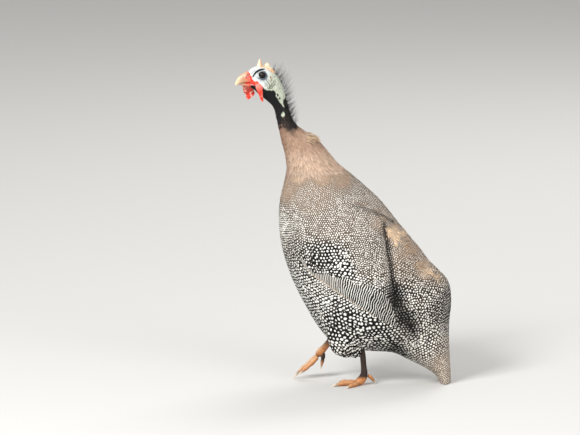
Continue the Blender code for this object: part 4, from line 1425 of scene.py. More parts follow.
def tube_ways(table, facing, count=70):
    """A tube's centre line in steps: points, directions, outward facings, radii and millimetres so far."""
    values = along(table, np.linspace(0, len(table) - 1, count))
    centre = values[:, :3]
    line = unit(np.gradient(centre, axis=0))
    facing = np.asarray(facing, float)
    thick = unit(facing - line * (line @ facing)[:, None])
    way = np.concatenate(((0,), np.cumsum(np.linalg.norm(np.diff(centre, axis=0), axis=1))))
    return centre, line, thick, values[:, 3:5].mean(axis=1), way


def scale_relief(angle, way, radius, plate, cell):
    """Broad plates in front or on top, small round scales elsewhere: how far they stand out."""
    plated = 1 - smooth_step(np.abs(angle), 1.0, 1.3)
    share = np.mod(way / plate + 0.10 * np.cos(angle * 1.5), 1)
    plates = 0.34 * (1 - share) ** 0.7 - 0.40 * hump(share, 0.10) - 0.40 * hump(1 - share, 0.05)
    row = np.floor(way / cell)
    across = angle * radius / cell + 0.5 * np.mod(row, 2)
    off = np.hypot(np.mod(way / cell, 1) - 0.5, np.mod(across, 1) - 0.5)
    cells = 0.16 - 0.62 * np.clip(off, 0, 0.6) ** 2
    return plated * plates + (1 - plated) * cells, plated, share, off


def leg_skin(side, shank, sizes):
    """One lower leg with its toes, scaled all over, before it is joined to the body's skin."""
    tubes = [(number_table(shank), (0, -1, 0), 0.0)]
    for name, path, _, root, end in TOES:
        if name.startswith(side):
            size = root + (end - root) * np.arange(len(path))[:, None] / (len(path) - 1)
            tubes.append((np.hstack((path, size, size)), (0, 0, 1), TOE_PAD_SWELL))
    bm = bmesh.new()
    for table, facing, swell in tubes:

        def place(step, angle):
            return tube_points(table, step, angle, facing, TUBE_ENDS, swell)

        tube = wrapped_grid(44, 28, place)
        move_points(tube, np.maximum(bm_points(tube), (-np.inf, -np.inf, 0.25)))
        part = bpy.data.meshes.new("part")
        tube.to_mesh(part)
        tube.free()
        bm.from_mesh(part)
        bpy.data.meshes.remove(part)
    piece = plain_object(f"leg_{side}", bm)
    mesh = remeshed(piece, sizes.leg_grain / MM, 5)
    points, normals = mesh_points(mesh), mesh_vectors(mesh, "normal")

    nearest, tube_of = np.full(len(points), np.inf), np.zeros(len(points), int)
    angle, way, radius = (np.zeros(len(points)) for _ in range(3))
    for number, (table, facing, _) in enumerate(tubes):
        centre, line, thick, size, so_far = tube_ways(table, facing)
        off = points[:, None] - centre[None]
        distance = np.linalg.norm(off, axis=2) - size
        best = distance.argmin(axis=1)
        closer = distance[np.arange(len(points)), best] < nearest
        pick = best[closer]
        offset = off[closer, pick]
        nearest[closer] = distance[closer, pick]
        tube_of[closer] = number
        aside, outward, onward = (
            np.einsum("ij,ij->i", offset, way_there)
            for way_there in (np.cross(line[pick], thick[pick]), thick[pick], line[pick])
        )
        angle[closer] = np.arctan2(aside, outward)
        way[closer] = so_far[pick] + onward
        radius[closer] = size[pick]
    on_shank = tube_of == 0
    plate, cell = np.where(on_shank, SHANK_PLATE, TOE_PLATE), np.where(on_shank, SHANK_SCALE, TOE_SCALE)
    rise, plated, share, off = scale_relief(angle, way, radius, plate, cell)
    sole = smooth_step(np.abs(angle), 2.0, 2.5) * ~on_shank
    rise = rise * (1 - 0.6 * sole) * smooth_step(points[:, 2], 0.3, 1.2)
    points = points + normals * rise[:, None]
    points[:, 2] = np.maximum(points[:, 2], FLOOR_GAP)
    set_mesh_points(mesh, points)

    _, y, z = points.T
    in_air = side == "right"
    low, high = (44, 62) if in_air else (9, 15)
    heel = in_air * ~on_shank * smooth_step(y, -55, -52) * smooth_step(z, 22, 32)
    under = -normals[:, 2] - 0.3 * normals[:, 1]
    seams = plated * np.clip(hump(share, 0.12) + hump(1 - share, 0.08), 0, 1)
    colours = painted(
        points, "scale_orange",
        # painted highlight: cream on the toes' top plates, palest where each plate stands highest
        (0.55 * plated * ~on_shank * (1 - share), "scale_highlight"),
        # painted highlight: cream where the raised foot faces up and forward
        (0.6 * in_air * smooth_step(normals[:, 1] * -0.4 + normals[:, 2], 0.2, 0.9), "scale_highlight"),
        (0.7 * sole, "ear"),
        (0.6 * (seams + (1 - plated) * smooth_step(off, 0.42, 0.62)), "ear"),
        # painted shade: darker underneath the raised foot
        (0.8 * in_air * smooth_step(under, 0.0, 0.7), "ear"),
        (0.6 * in_air * smooth_step(under, 0.5, 1.0), "scale_dark"),
        (0.96 * np.maximum(on_shank * smooth_step(z, low, high), heel), "scale_dark"),
    )
    colours = colours * (1 + 0.16 * wavy(points, 2.3))[:, None]
    return piece, bare_source(points, colours, 0.40)


def joined_skin(host, parts):
    """Unites the parts' closed meshes with the host's."""
    guests = bpy.data.collections.new("skin_parts")
    for part in parts:
        guests.objects.link(part)
    union = host.modifiers.new("unite", "BOOLEAN")
    union.operation = "UNION"
    union.solver = "EXACT"
    union.operand_type = "COLLECTION"
    union.collection = guests
    mesh = with_modifiers(host)
    for part in parts:
        bpy.data.objects.remove(part)
    bpy.data.collections.remove(guests)
    return mesh


def take_values(mesh, sources):
    """Gives each vertex the values of the nearest source vertex and returns how far away that is."""
    merged = {name: np.concatenate([source[name] for source in sources]) for name in sources[0]}
    tree = KDTree(len(merged["points"]))
    for index, point in enumerate(merged["points"]):
        tree.insert(point, index)
    tree.balance()
    found = [tree.find(point) for point in mesh_points(mesh)]
    nearest = np.array([entry[1] for entry in found])
    set_value(mesh, "base", opaque(merged["base"][nearest]))
    for name in ("dull", "coated", "cell", "spots", "mark", "tones"):
        set_value(mesh, name, merged[name][nearest])
    return np.array([entry[2] for entry in found])


def soften_joins(mesh, gaps):
    """Smooths the skin where its parts meet, near vertices that no part had."""
    bm = bmesh.new()
    bm.from_mesh(mesh)
    new = gaps > 0.02
    tree = KDTree(int(new.sum()) or 1)
    for vertex in bm.verts:
        if new[vertex.index]:
            tree.insert(vertex.co, vertex.index)
    tree.balance()
    near = [
        vertex for vertex in bm.verts
        if new[vertex.index] or (tree.find(vertex.co)[2] or math.inf) < JOIN_REACH * MM
    ]
    for _ in range(4):
        bmesh.ops.smooth_vert(bm, verts=near, factor=0.5, use_axis_x=True, use_axis_y=True, use_axis_z=True)
    bm.to_mesh(mesh)
    bm.free()


def build_skin(sizes, coat):
    skin, body_values = body_skin(sizes, coat)
    made = [
        wattle_skin("wattle_left", WATTLE_LEFT, WATTLE_LEFT_FACES, 0.35),
        wattle_skin("wattle_right", WATTLE_RIGHT, WATTLE_RIGHT_FACES, 1.3),
        leg_skin("left", SHANK_LEFT, sizes),
        leg_skin("right", SHANK_RIGHT, sizes),
    ]
    mesh = joined_skin(skin, [piece for piece, _ in made])
    gaps = take_values(mesh, [body_values] + [values for _, values in made])
    soften_joins(mesh, gaps)
    mesh.shade_smooth()
    mesh.materials.clear()
    mesh.materials.append(skin_material(coat))
    flesh = ["head", "neck_upper", "neck_lower", "trunk", "tail"]
    flesh += [f"{part}_{side}" for part in ("wing", "thigh", "shank", "wattle") for side in ("left", "right")]
    flesh += [f"toe_{row[0]}" for row in TOES]
    settle(skin, "facial_skin", *flesh)


# ---------------------------------------------------------------- horn and eyes


def coloured_piece(name, bm, material, colours, slot, node):
    piece = plain_object(name, bm, [material])
    set_value(piece.data, "base", opaque(colours))
    settle(piece, slot, node)


def build_bill():
    for half, rows, keel in (("upper", BILL_UPPER, BILL_KEEL), ("lower", BILL_LOWER, 0.62)):
        table = number_table(rows)
        last = len(table) - 1
        bm = wrapped_grid(84, 56, lambda step, angle: section(along(table, step * last), angle, keel))
        points, normals = bm_points(bm), bm_normals(bm)
        x, y, z = points.T
        nostril, _ = line_distance(y, z, NOSTRIL)
        side = smooth_step(np.abs(x), 1.5, 3.0)
        slit = hump(nostril, 0.75) * side
        gape, _ = line_distance(y, z, GAPE_LINE)
        shifted = 0.8 * rough(points, 1.4, 3.0)
        round_nostril = 1 - smooth_step(nostril + shifted, 1.6, 4.6)
        round_gape = 1 - smooth_step(gape + shifted, 1.2, 3.6)
        at_face = 0.8 * (1 - smooth_step(-y + shifted, 166.0, 171.0))
        cere = np.maximum(np.maximum(round_nostril, round_gape), at_face)
        rise = 0.35 * cere + 0.30 * hump(nostril - 1.5, 0.6) * side - 1.3 * slit
        rise += 0.06 * wavy(points, 0.5) * (1 - cere) + 0.14 * wavy(points, 0.9) * cere
        points = turned(points + normals * rise[:, None])
        move_points(bm, points)
        pale = smooth_step(-y + 0.25 * (z - 478) + 0.8 * wavy(points, 1.5), 175.5, 185.5)
        # painted highlight: ivory sheen along the top of the upper bill
        culmen_sheen = 0.35 * (1 - cere) * smooth_step(z + 0.45 * y, 402.5, 405.5)
        colours = painted(
            points, "red",
            (0.5 * smooth_step(wavy(points, 1.0, 2.0), 0, 0.6), "pink"),
            (1 - cere, "bill_pink"),
            (np.maximum(pale, culmen_sheen), "ivory"),
            (0.7 * hump(nostril, 1.3) * side + slit, "ear"),
        )
        material = horn_material(f"{half}_bill", 0.34, (180, 700, 700), 0.22)
        coloured_piece(f"{half}_bill", bm, material, colours, "bill_horn", f"bill_{half}")


def build_casque():
    outline = number_table(CASQUE_OUTLINE)
    closed = np.vstack((outline[-1:], outline, outline[:2]))
    bm = bmesh.new()
    bmesh.ops.create_circle(bm, cap_ends=True, segments=len(outline) * 6, radius=1)
    ring = np.linspace(1, len(outline) + 1, len(bm.verts), endpoint=False)
    for vertex, (y, z) in zip(bm.verts, along(closed, ring)):
        vertex.co = (-1, y, z)
    for element in bmesh.ops.extrude_face_region(bm, geom=bm.faces[:])["geom"]:
        if isinstance(element, bmesh.types.BMVert):
            element.co.x = 1
    points = bm_points(bm)
    rise = smooth_step(points[:, 2], CASQUE_BASE_Z, CASQUE_TOP_Z)
    points[:, 0] *= CASQUE_BASE_HALF + (CASQUE_TOP_HALF - CASQUE_BASE_HALF) * rise
    move_points(bm, points)
    bmesh.ops.recalc_face_normals(bm, faces=bm.faces)
    piece = plain_object("casque_horn", bm)
    mesh = remeshed(piece, 0.32, 4)
    points, normals = mesh_points(mesh), mesh_vectors(mesh, "normal")
    _, y, z = points.T
    inward = depth_inside(y, z, along(closed, np.linspace(1, len(outline) + 1, 140)))
    rounding = 1 - (1 - np.clip(inward / 3.2, 0, 1)) ** 2
    points[:, 0] *= 0.35 + 0.65 * np.sqrt(rounding)
    points += normals * (0.16 * wavy(points, 1.2) + 0.08 * wavy(points, 0.5, 3.0))[:, None]
    set_mesh_points(mesh, turned(points))
    spike = 1 - smooth_step(y, -145.5, -143.0)
    spots = smooth_step(rough(points, 1.0, 6.0), 0.22, 0.6) * (1 - 0.75 * spike)
    colours = painted(
        points, "casque_cream",
        (0.8 * spike * smooth_step(y, -149.2, -147.2), "casque_orange"),
        (0.12 * (1 - spike), "casque_orange"),
        (0.6 * spots, "casque_brown"),
        (0.6 * smooth_step(-z, -495.0, -489.5) * (1 - spike), "casque_orange"),
        # painted shade: darker in the notch between the spike and the rear horn
        (0.45 * hump(np.hypot(y + 142.5, z - 495.5), 2.6), "casque_brown"),
    )
    set_value(mesh, "base", opaque(colours))
    mesh.materials.append(horn_material("casque", 0.46, (240, 240, 700), 0.35))
    mesh.shade_smooth()
    settle(piece, "casque_horn", "casque")


def build_eyes():
    material = eye_material()
    for side, name in ((1, "left"), (-1, "right")):
        bm = bmesh.new()
        bmesh.ops.create_uvsphere(bm, u_segments=64, v_segments=40, radius=EYE_RADIUS)
        points = bm_points(bm)[:, (2, 0, 1)]
        off_axis = np.hypot(points[:, 1], points[:, 2])
        front = points[:, 0] > 0
        points[:, 0] += 0.4 * np.clip(1 - (off_axis / 4.2) ** 2, 0, 1) * front
        x, y, z = EYE_CENTRE
        move_points(bm, turned(points * (side, 1, 1) + (side * x, y, z)))
        bmesh.ops.recalc_face_normals(bm, faces=bm.faces)
        colours = painted(
            points, "eye_rim",
            ((1 - smooth_step(off_axis, 3.9, 4.2)) * front, "iris"),
            ((1 - smooth_step(off_axis, 2.3, 2.6)) * front, "pupil"),
        )
        coloured_piece(f"{name}_eye", bm, material, colours, "eyeball", f"eye_{name}")


def build_claws():
    material = horn_material("claw", 0.36, (260, 260, 900), 0.5)
    for name, path, tip, _, end in TOES:
        finish, tip = np.array(path[-1]), np.array(tip)
        size = end * CLAW_ROOT_SHARE
        middle = finish + (tip - finish) * 0.45 + (0, 0, size * 0.35)
        table = np.array([
            (*(finish - unit(tip - finish) * CLAW_SUNK), size * 0.8, size * 0.8),
            (*finish, size, size),
            (*middle, size * 0.72, size * 0.8),
            (*tip, CLAW_TIP, CLAW_TIP),
        ])
        bm = wrapped_grid(40, 28, lambda step, angle: tube_points(table, step, angle, (0, 0, 1), (0.1, 0.05)))
        points, normals = bm_points(bm), bm_normals(bm)
        groove = hump(np.abs(np.sin(np.arctan2(normals[:, 2], np.hypot(*normals[:, :2].T)))) - 0.1, 0.2)
        points = points - normals * (0.10 * groove * size / 2)[:, None]
        points[:, 2] = np.maximum(points[:, 2], 0.1)
        move_points(bm, points)
        colours = painted(points, "claw_root", (smooth_step(steps_of(bm), 0.35, 0.9), "claw_tip"))
        coloured_piece(f"{name}_claw", bm, material, colours, "claw_horn", f"claw_{name}")


# ---------------------------------------------------------------- feathers


def interleaved(roots, rows, columns):
    """Masks that part the vanes so that no two of one mask overlap."""
    row, column = np.floor(roots.row).astype(int), roots.column.astype(int)
    return [(row % rows == i) & (column % columns == j) for i in range(rows) for j in range(columns)]


def varied(rng, roots, middle, spread):
    """A number for each root, scattered about the middle."""
    return middle + spread * rng.normal(0, 1, roots.p.shape)


def coloured_values(laid, rng, colours_at, spread):
    """The values of unspotted vanes: a colour at each point, and places along and across for the streaks."""
    shape = laid.points.shape
    chance = rng.random((len(laid.points), 1))
    colours = colours_at(laid.points.reshape(-1, 3)).reshape(shape)
    colours = colours * (1 + spread * (2 * chance - 1))[..., None]
    u = laid.aside / 2.0 + 10 * chance
    v = laid.away / 5.0 + 7 * chance
    spots = np.stack((u, v, np.broadcast_to(chance, shape[:2])), axis=-1)
    return {"spots": spots, "base": opaque(np.clip(colours, 0, 1))}


def lay_pieces(name, roots, parting, lay, values_of, spans, material, slot="plumage"):
    """Lays vanes in a few numbered pieces, so that no two vanes of one piece overlap."""
    for number, keep in enumerate(interleaved(roots, *parting)):
        part = keep_roots(roots, keep)
        laid = lay(part)
        values, unwrap = values_of(laid, part), unwrap_of(laid, *spans)
        joined_vanes(f"{name}_{number + 1}", laid, values, unwrap, material, slot)


def lay_spotted(name, sheet, roots, vane, coat, rng, spans, base, lift, camber, play, twist, jitter):
    """Lays the spotted vanes of one part of the body. Play is how much lift and roll differ."""

    def lay(part):
        return lay_vanes(
            sheet, part, vane, part.length * varied(rng, part, 1, jitter), part.width * coat.spread,
            base=base, lift=varied(rng, part, lift, play), camber=camber, thickness=VANE_THICKNESS,
            roll=varied(rng, part, 0, play), twist=varied(rng, part, 0, twist),
        )

    lay_pieces(name, roots, (3, 2), lay, lambda laid, part: spotted_values(laid, part, rng), spans,
               spotted_material(coat))


def fan_roots(p, q, width, spacing):
    """Roots of long feathers side by side."""
    same, order = np.ones(len(q)), np.arange(len(q)) * 1.0
    return SimpleNamespace(p=p, q=q, width=width * same, spacing=spacing * same, row=order, column=order)


def strips_of(vane, count):
    """A strip of the unwrap for each of the long feathers."""
    u = (np.arange(count)[:, None] + 0.5 + 0.42 * vane.side) / count
    return np.stack(np.broadcast_arrays(u, 0.03 + 0.94 * vane.ahead), axis=-1)


def root_patch(p_share, q_share, side, ahead):
    """A small patch for each tuft, at its root's place on the unwrap."""
    u = 0.02 + 0.95 * q_share[:, None] + 0.0015 * side
    v = 0.02 + 0.95 * p_share[:, None] + 0.003 * ahead
    return np.stack(np.broadcast_arrays(u, v), axis=-1)


def build_body_feathers(coat):
    sheet, rng = body_sheet(), np.random.default_rng(11)
    p_span = (way_to("shoulder") - 18, way_to("rump") + 22)
    roots = staggered_roots(sheet, coat.body_columns, ROUND, p_span, ROW_HEIGHT, least=5.0)
    roots.length = roots.spacing * coat.overlap
    first, _, pace, _ = sheet.at(roots.p, roots.q)
    last, _, _, _ = sheet.at(roots.p + roots.length / pace, roots.q)
    depths = [depth_inside(place[:, 1], place[:, 2], WING_OUTLINE) for place in (first, last)]
    roots = keep_roots(roots, np.minimum(*depths) <= HIDDEN_DEPTH)
    vane = vane_template(6, 6, root=0.42, widest=0.62, tip=0.55, rounding=0.34)
    spans = ((p_span[0], p_span[1] + 40), ROUND)
    lay_spotted("body_feathers", sheet, roots, vane, coat, rng, spans, base=-1.9, lift=1.4, camber=0.25,
                play=0.08, twist=0.04, jitter=0.03)


def cape_colours(points):
    """Black above, tan below, with a lighter tuft at the side."""
    y, z = points[:, 1], points[:, 2]
    drift = 4 * wavy(points, 3.0) + 14 * hump(y + 98, 12)
    streaks = smooth_step(wavy(points * (1, 1, 0.3), 4.0, 4.0), 0.15, 0.9) * (z < 404)
    return painted(
        points, "neck_black",
        (0.97 * smooth_step(-z - drift, -416, -396), "cape_tan"),
        (0.45 * streaks, "cape_brown"),
        (0.7 * hump(np.hypot(y + 66, z - 389), 10), "cape_light"),
        (0.42 * smooth_step(-z, -376, -352), "cape_light"),
        (0.7 * smooth_step(-z, -344, -322), "cape_grey"),
        (0.45 * smooth_step(-y, 98, 112), "cape_brown"),
    )


def build_cape(coat):
    sheet, rng = body_sheet(), np.random.default_rng(12)
    p_span = (way_to("collar") - 8, way_to("shoulder") + 14)
    roots = staggered_roots(sheet, coat.cape_columns, ROUND, p_span, 1.5, least=3.4)
    thinning = 0.8 * smooth_step(roots.p, p_span[1] - 26, p_span[1])
    roots = keep_roots(roots, rng.random(len(roots.p)) >= thinning)
    roots.share = smooth_step(roots.p, *p_span)
    vane = vane_template(3, 7, root=0.5, widest=0.45, tip=0.14, rounding=0.22)

    def lay(part):
        return lay_vanes(
            sheet, part, vane, part.spacing * 3.4 * varied(rng, part, 1, 0.10), part.width * 0.85 + 0.8,
            base=-1.2 - 1.6 * part.share, lift=varied(rng, part, 1.2 + 0.9 * part.share, 0.2), camber=0.25,
            thickness=0.18, roll=varied(rng, part, 0, 0.15), twist=varied(rng, part, 0, 0.08),
        )

    lay_pieces("cape", roots, (4, 1), lay, lambda laid, part: coloured_values(laid, rng, cape_colours, 0.16),
               ((p_span[0], p_span[1] + 30), ROUND), plain_vane_material("cape_feathers"), "cape")


def build_neck_down():
    """Short black down of the neck, thickest at the back, and none on the bare white skin."""
    sheet, rng = body_sheet(), np.random.default_rng(13)
    p_span = (way_to("nape_low"), way_to("collar") + 3)
    roots = staggered_roots(sheet, NECK_DOWN_COLUMNS, ROUND, p_span, 1.2, least=1.9)
    t = np.interp(roots.p, STATION_WAY, STATION_STEPS)
    x, y, z = body_points(t, roots.q).T
    half_y, half_z = NECK_PATCH_HALF
    patch = np.hypot((y - NECK_PATCH[0]) / (half_y + 1), (z - NECK_PATCH[1]) / (half_z + 2)) < 1
    bare = (depth_inside(y, z, BLACK_EDGE) < 1.0) | patch & (np.abs(x) > 3)
    thin = rng.random(len(roots.p)) > 0.35 + 0.65 * smooth_step(t, 7.5, 10.0)
    roots = keep_roots(roots, ~(bare | thin))
    vane = vane_template(2, 4, root=0.5, widest=0.4, tip=0.2, rounding=0.2)

    def lay(part):
        return lay_vanes(
            sheet, part, vane, np.maximum(part.spacing * 2.6, 4.5) * varied(rng, part, 1, 0.15),
            part.width * 0.95, base=-0.75, lift=1.15 + 0.5 * rng.random(part.p.shape), camber=0.2,
            thickness=VANE_THICKNESS, roll=0, twist=varied(rng, part, 0, 0.25),
        )

    def black(points):
        return painted(points, "neck_black")

    lay_pieces("neck_down", roots, (4, 1), lay, lambda laid, part: coloured_values(laid, rng, black, 0.5),
               ((p_span[0], p_span[1] + 12), ROUND), plain_vane_material("neck_down", 0.8), "cape")


def build_bristles(coat):
    """The upright black bristles along the nape and the back of the neck."""
    sheet, rng = body_sheet(), np.random.default_rng(14)
    p_low, p_high = way_to("nape_top"), way_to("collar") + 4
    template = bmesh.new()
    bmesh.ops.create_cone(template, segments=3, radius1=1, radius2=0.25, depth=1, cap_ends=True)
    long_edges = [edge for edge in template.edges if abs(edge.verts[0].co.z - edge.verts[1].co.z) > 0.5]
    bmesh.ops.subdivide_edges(template, edges=long_edges, cuts=3)
    bmesh.ops.triangulate(template, faces=template.faces)
    template.verts.index_update()
    x, y, z = bm_points(template).T
    triangles = np.array([[vertex.index for vertex in face.verts] for face in template.faces])
    template.free()
    rise = z + 0.5
    count = coat.bristles
    p = p_low + (p_high - p_low) * rng.random(count)
    q = (0.15 + 0.16 * smooth_step(p, p_low, p_high)) * rng.normal(0, 1, count)
    root, normal, _, _ = sheet.at(p, np.mod(q, 2 * math.pi))
    ahead, _, _, _ = sheet.at(p + 2, np.mod(q, 2 * math.pi))
    lie = unit(ahead - root)
    share = (p - p_low) / (p_high - p_low)
    length = (10.5 + 6.0 * hump(share - 0.35, 0.35) + 3.0 * rng.normal(0, 1, count)).clip(4, 21)
    leaning = lie * (0.35 + 0.30 * rng.normal(0, 1, count))[:, None]
    upward = unit(normal - leaning + rng.normal(0, 0.13, (count, 3)))
    across = unit(np.cross(upward, lie))
    third = np.cross(upward, across)
    bend = (0, 0, 1) * (length * 0.30)[:, None] + rng.normal(0, 1.0, (count, 3))
    thick = 0.22 * (1 - 0.6 * rise)
    points = (
        (root - normal * 1.2)[:, None] + upward[:, None] * (length[:, None] * rise)[..., None]
        + bend[:, None] * (rise**2)[:, None]
        + across[:, None] * (thick * x)[:, None] + third[:, None] * (thick * y)[:, None]
    )
    chance = rng.random((count, 1))
    base = np.ones((count, len(x), 4)) * (*LINEAR["black_skin"], 1)
    spots = np.stack(np.broadcast_arrays(x, rise * length[:, None] / 5, chance), axis=-1)
    patch = root_patch(share, np.mod(q / (2 * math.pi) + 0.5, 1), x, rise)
    laid = SimpleNamespace(points=points, quads=triangles, rim=np.zeros(len(x), bool))
    joined_vanes("nape_bristles", laid, {"spots": spots, "base": base}, patch,
                 plain_vane_material("nape_bristles", 0.7), "cape")


def covert_limit(q):
    """How far along the wing its coverts reach, from its lower to its upper edge."""
    return np.interp(q, *COVERT_LIMITS)


def flight_values(laid, roots, rng):
    """Barred flight feathers: bars nearly upright in a side view, browner along the wing's lower edge."""
    _, y, z = np.moveaxis(laid.points, -1, 0)
    _, _, _, _, tone, warmth, light = plumage_at(y, z)
    chance = rng.random((len(roots.p), 1))
    rear = smooth_step(y, -70, 20)
    steps = np.linspace(-140, 120, 400)
    counts = np.cumsum(np.gradient(steps) / (BAR_PITCH + 0.6 * smooth_step(steps, -45, 25)))
    upright = y + (0.15 - 0.42 * rear) * (z - np.interp(y, (-80, 60), (185, 115)))
    bent = 0.8 * wavy(laid.points, 5.0) + 0.5 * wavy(laid.points, 2.2, 4.0)
    v = np.interp(upright + bent, steps, counts) + 0.25 * chance
    u = z / 9.0
    lower = smooth_step(-laid.aside, 3.6, 5.2) * (roots.row[:, None] < 0.5)
    warmth = np.clip(warmth + 1.2 * lower, 0, 1.3)
    front = 1 - smooth_step(y, -50, -5)
    tone = np.clip(tone * 0.5 + 0.40 * front + lower * (0.55 + 0.35 * rear) + 0.05 * chance, 0, 1)
    light = light - 0.12 * front
    mark = np.stack((0.128 + 0.035 * front - 0.02 * lower, 8 + 0 * u, 0 * u), axis=-1)
    return {
        "spots": np.stack((u, v, np.broadcast_to(chance, u.shape)), axis=-1),
        "mark": mark,
        "tones": np.stack((tone, warmth, light), axis=-1),
        "cell": np.broadcast_to(PLAIN_CELL, mark.shape),
    }


def build_wings(coat):
    small = vane_template(6, 6, root=0.42, widest=0.62, tip=0.6, rounding=0.30)
    long_vane = vane_template(8, 26, root=0.35, widest=0.35, tip=0.62, rounding=0.10)
    for side, name in ((1, "left"), (-1, "right")):
        sheet, rng = wing_sheet(side), np.random.default_rng(15)
        roots = staggered_roots(sheet, coat.wing_columns, (0, 1), (0.0, 0.95), ROW_HEIGHT, least=4.5)
        roots.length = roots.spacing * coat.overlap
        _, _, pace, _ = sheet.at(roots.p, roots.q)
        roots = keep_roots(roots, roots.p + roots.length / pace < covert_limit(roots.q) + 0.02)
        lay_spotted(f"wing_coverts_{name}", sheet, roots, small, coat, rng, ((-0.05, 1.05), (-0.12, 1.12)),
                    base=-1.3, lift=1.4, camber=0.25, play=0.08, twist=0.04, jitter=0.03)
        count = coat.flight_feathers
        order = np.arange(count)
        q = 0.06 + 0.46 * order / (count - 1)
        start = np.maximum(covert_limit(q) - 0.22, 0.02)
        end = 0.985 - 0.012 * (order % 2) - 0.004 * order
        fan = fan_roots(start, q, 6.0, 6.0)
        _, _, pace, _ = sheet.at((start + end) / 2, q)
        laid = lay_vanes(
            sheet, fan, long_vane, (end - start) * pace, 12.0 + 0.7 * order, base=-1.9 + 0.11 * order,
            lift=0.5, camber=0.25, thickness=0.25, roll=0.1, twist=0.0, end=end,
        )
        joined_vanes(f"flight_feathers_{name}", laid, flight_values(laid, fan, rng),
                     strips_of(long_vane, count), spotted_material(coat))


def build_tail(coat):
    sheet, rng = body_sheet(), np.random.default_rng(16)
    p_span, tip = (way_to("rump") - 4, way_to("tail_low") - 6), way_to("tail_tip")
    roots = staggered_roots(sheet, coat.tail_columns, ROUND, p_span, 1.1, least=6.0)
    roots.length = np.minimum(roots.spacing * 2.7, tip - roots.p + 1)
    vane = vane_template(6, 6, root=0.45, widest=0.6, tip=0.5, rounding=0.30)
    lay_spotted("tail_coverts", sheet, roots, vane, coat, rng, ((p_span[0], tip + 6), ROUND),
                base=-2.0, lift=1.7, camber=0.3, play=0.1, twist=0.04, jitter=0.04)
    order = np.arange(TAIL_FEATHERS)
    q = 2 * math.pi * (order + 0.5) / TAIL_FEATHERS
    start = np.full(TAIL_FEATHERS, way_to("tail_root") + 4)
    step = (tip - start[0]) / 2
    fan = fan_roots(start, q, 11.0, 9.5)
    _, _, pace, width = sheet.at(start + step, q)
    long_vane = vane_template(6, 16, root=0.6, widest=0.4, tip=0.75, rounding=0.05)
    laid = lay_vanes(
        sheet, fan, long_vane, 2 * step * pace, width * 2 * math.pi / TAIL_FEATHERS * 2.0,
        base=-2.6 + 0.4 * (order % 2), lift=2.4, camber=0.3, thickness=0.3, roll=0.2, twist=0.0,
        end=tip - 0.8 * (order % 3),
    )
    joined_vanes("tail_feathers", laid, spotted_values(laid, fan, rng),
                 strips_of(long_vane, TAIL_FEATHERS), spotted_material(coat))


def build_tufts():
    """Loose buff tufts behind the wings and on the rump."""
    sheet, rng = body_sheet(), np.random.default_rng(18)
    count = TUFT_TRIALS
    p = rng.uniform(way_to("collar"), way_to("rump"), count)
    q = rng.uniform(0.1, math.pi - 0.2, count)
    q = np.where(np.arange(count) % 2, q, 2 * math.pi - q)
    place, _, _, _ = sheet.at(p, q)
    warped = place + 3.5 * np.stack([rough(place, 3.0, seed) for seed in (0.0, 2.0, 4.0)], axis=-1)
    off = np.array([
        np.hypot((warped[:, 1] - y) / wide, (warped[:, 2] - z) / high) for (y, z), (wide, high), _ in TUFTS
    ])
    nearest = np.array([pale for _, _, pale in TUFTS])[off.argmin(axis=0)]
    keep = off.min(axis=0) < 0.45 + 0.9 * rng.random(count) ** 2
    same = np.full(count, 4.0)
    roots = keep_roots(SimpleNamespace(p=p, q=q, width=same, spacing=same, row=same, column=same), keep)
    vane = vane_template(2, 6, root=0.6, widest=0.4, tip=0.2, rounding=0.2)
    shape = roots.p.shape
    ruffled = smooth_step(place[keep][:, 2], 330, 360)
    laid = lay_vanes(
        sheet, roots, vane, varied(rng, roots, 9.0 + 2.0 * ruffled, 2.0), 1.5 + 0.4 * rng.random(shape),
        base=-1.3, lift=1.5 + (0.6 + 5.0 * ruffled) * rng.random(shape), camber=0.15, thickness=0.15, roll=0,
        twist=varied(rng, roots, 0, 0.32),
    )
    pale = np.repeat(nearest[keep] * (0.6 + 0.4 * rng.random(shape)), laid.points.shape[1])
    values = coloured_values(laid, rng, lambda points: painted(points, "tuft_brown", (pale, "buff")), 0.2)
    patch = root_patch(roots.p / STATION_WAY[-1], roots.q / (2 * math.pi), vane.side, vane.ahead)
    joined_vanes("buff_tufts", laid, values, patch, plain_vane_material("buff_tufts", 0.8))


def build_thigh_feathers(coat):
    vane = vane_template(6, 6, root=0.45, widest=0.6, tip=0.5, rounding=0.30)
    for rows, name in ((THIGH_LEFT, "left"), (THIGH_RIGHT, "right")):
        table = number_table(rows)
        sheet = Sheet((0, 1), PAST_ROUND, (90, 120), lambda p, q: tube_points(table, p, q))
        roots = staggered_roots(sheet, coat.thigh_columns, ROUND, (0.22, 0.86), ROW_HEIGHT, least=6.0)
        _, _, pace, _ = sheet.at(roots.p, roots.q)
        roots.length = np.minimum(roots.spacing * coat.overlap, (1.06 - roots.p) * pace)
        lay_spotted(f"thigh_feathers_{name}", sheet, roots, vane, coat, np.random.default_rng(17),
                    ((0, 1.1), ROUND), base=-2.3, lift=1.8, camber=0.3, play=0.1, twist=0.05, jitter=0.04)


# ---------------------------------------------------------------- stage


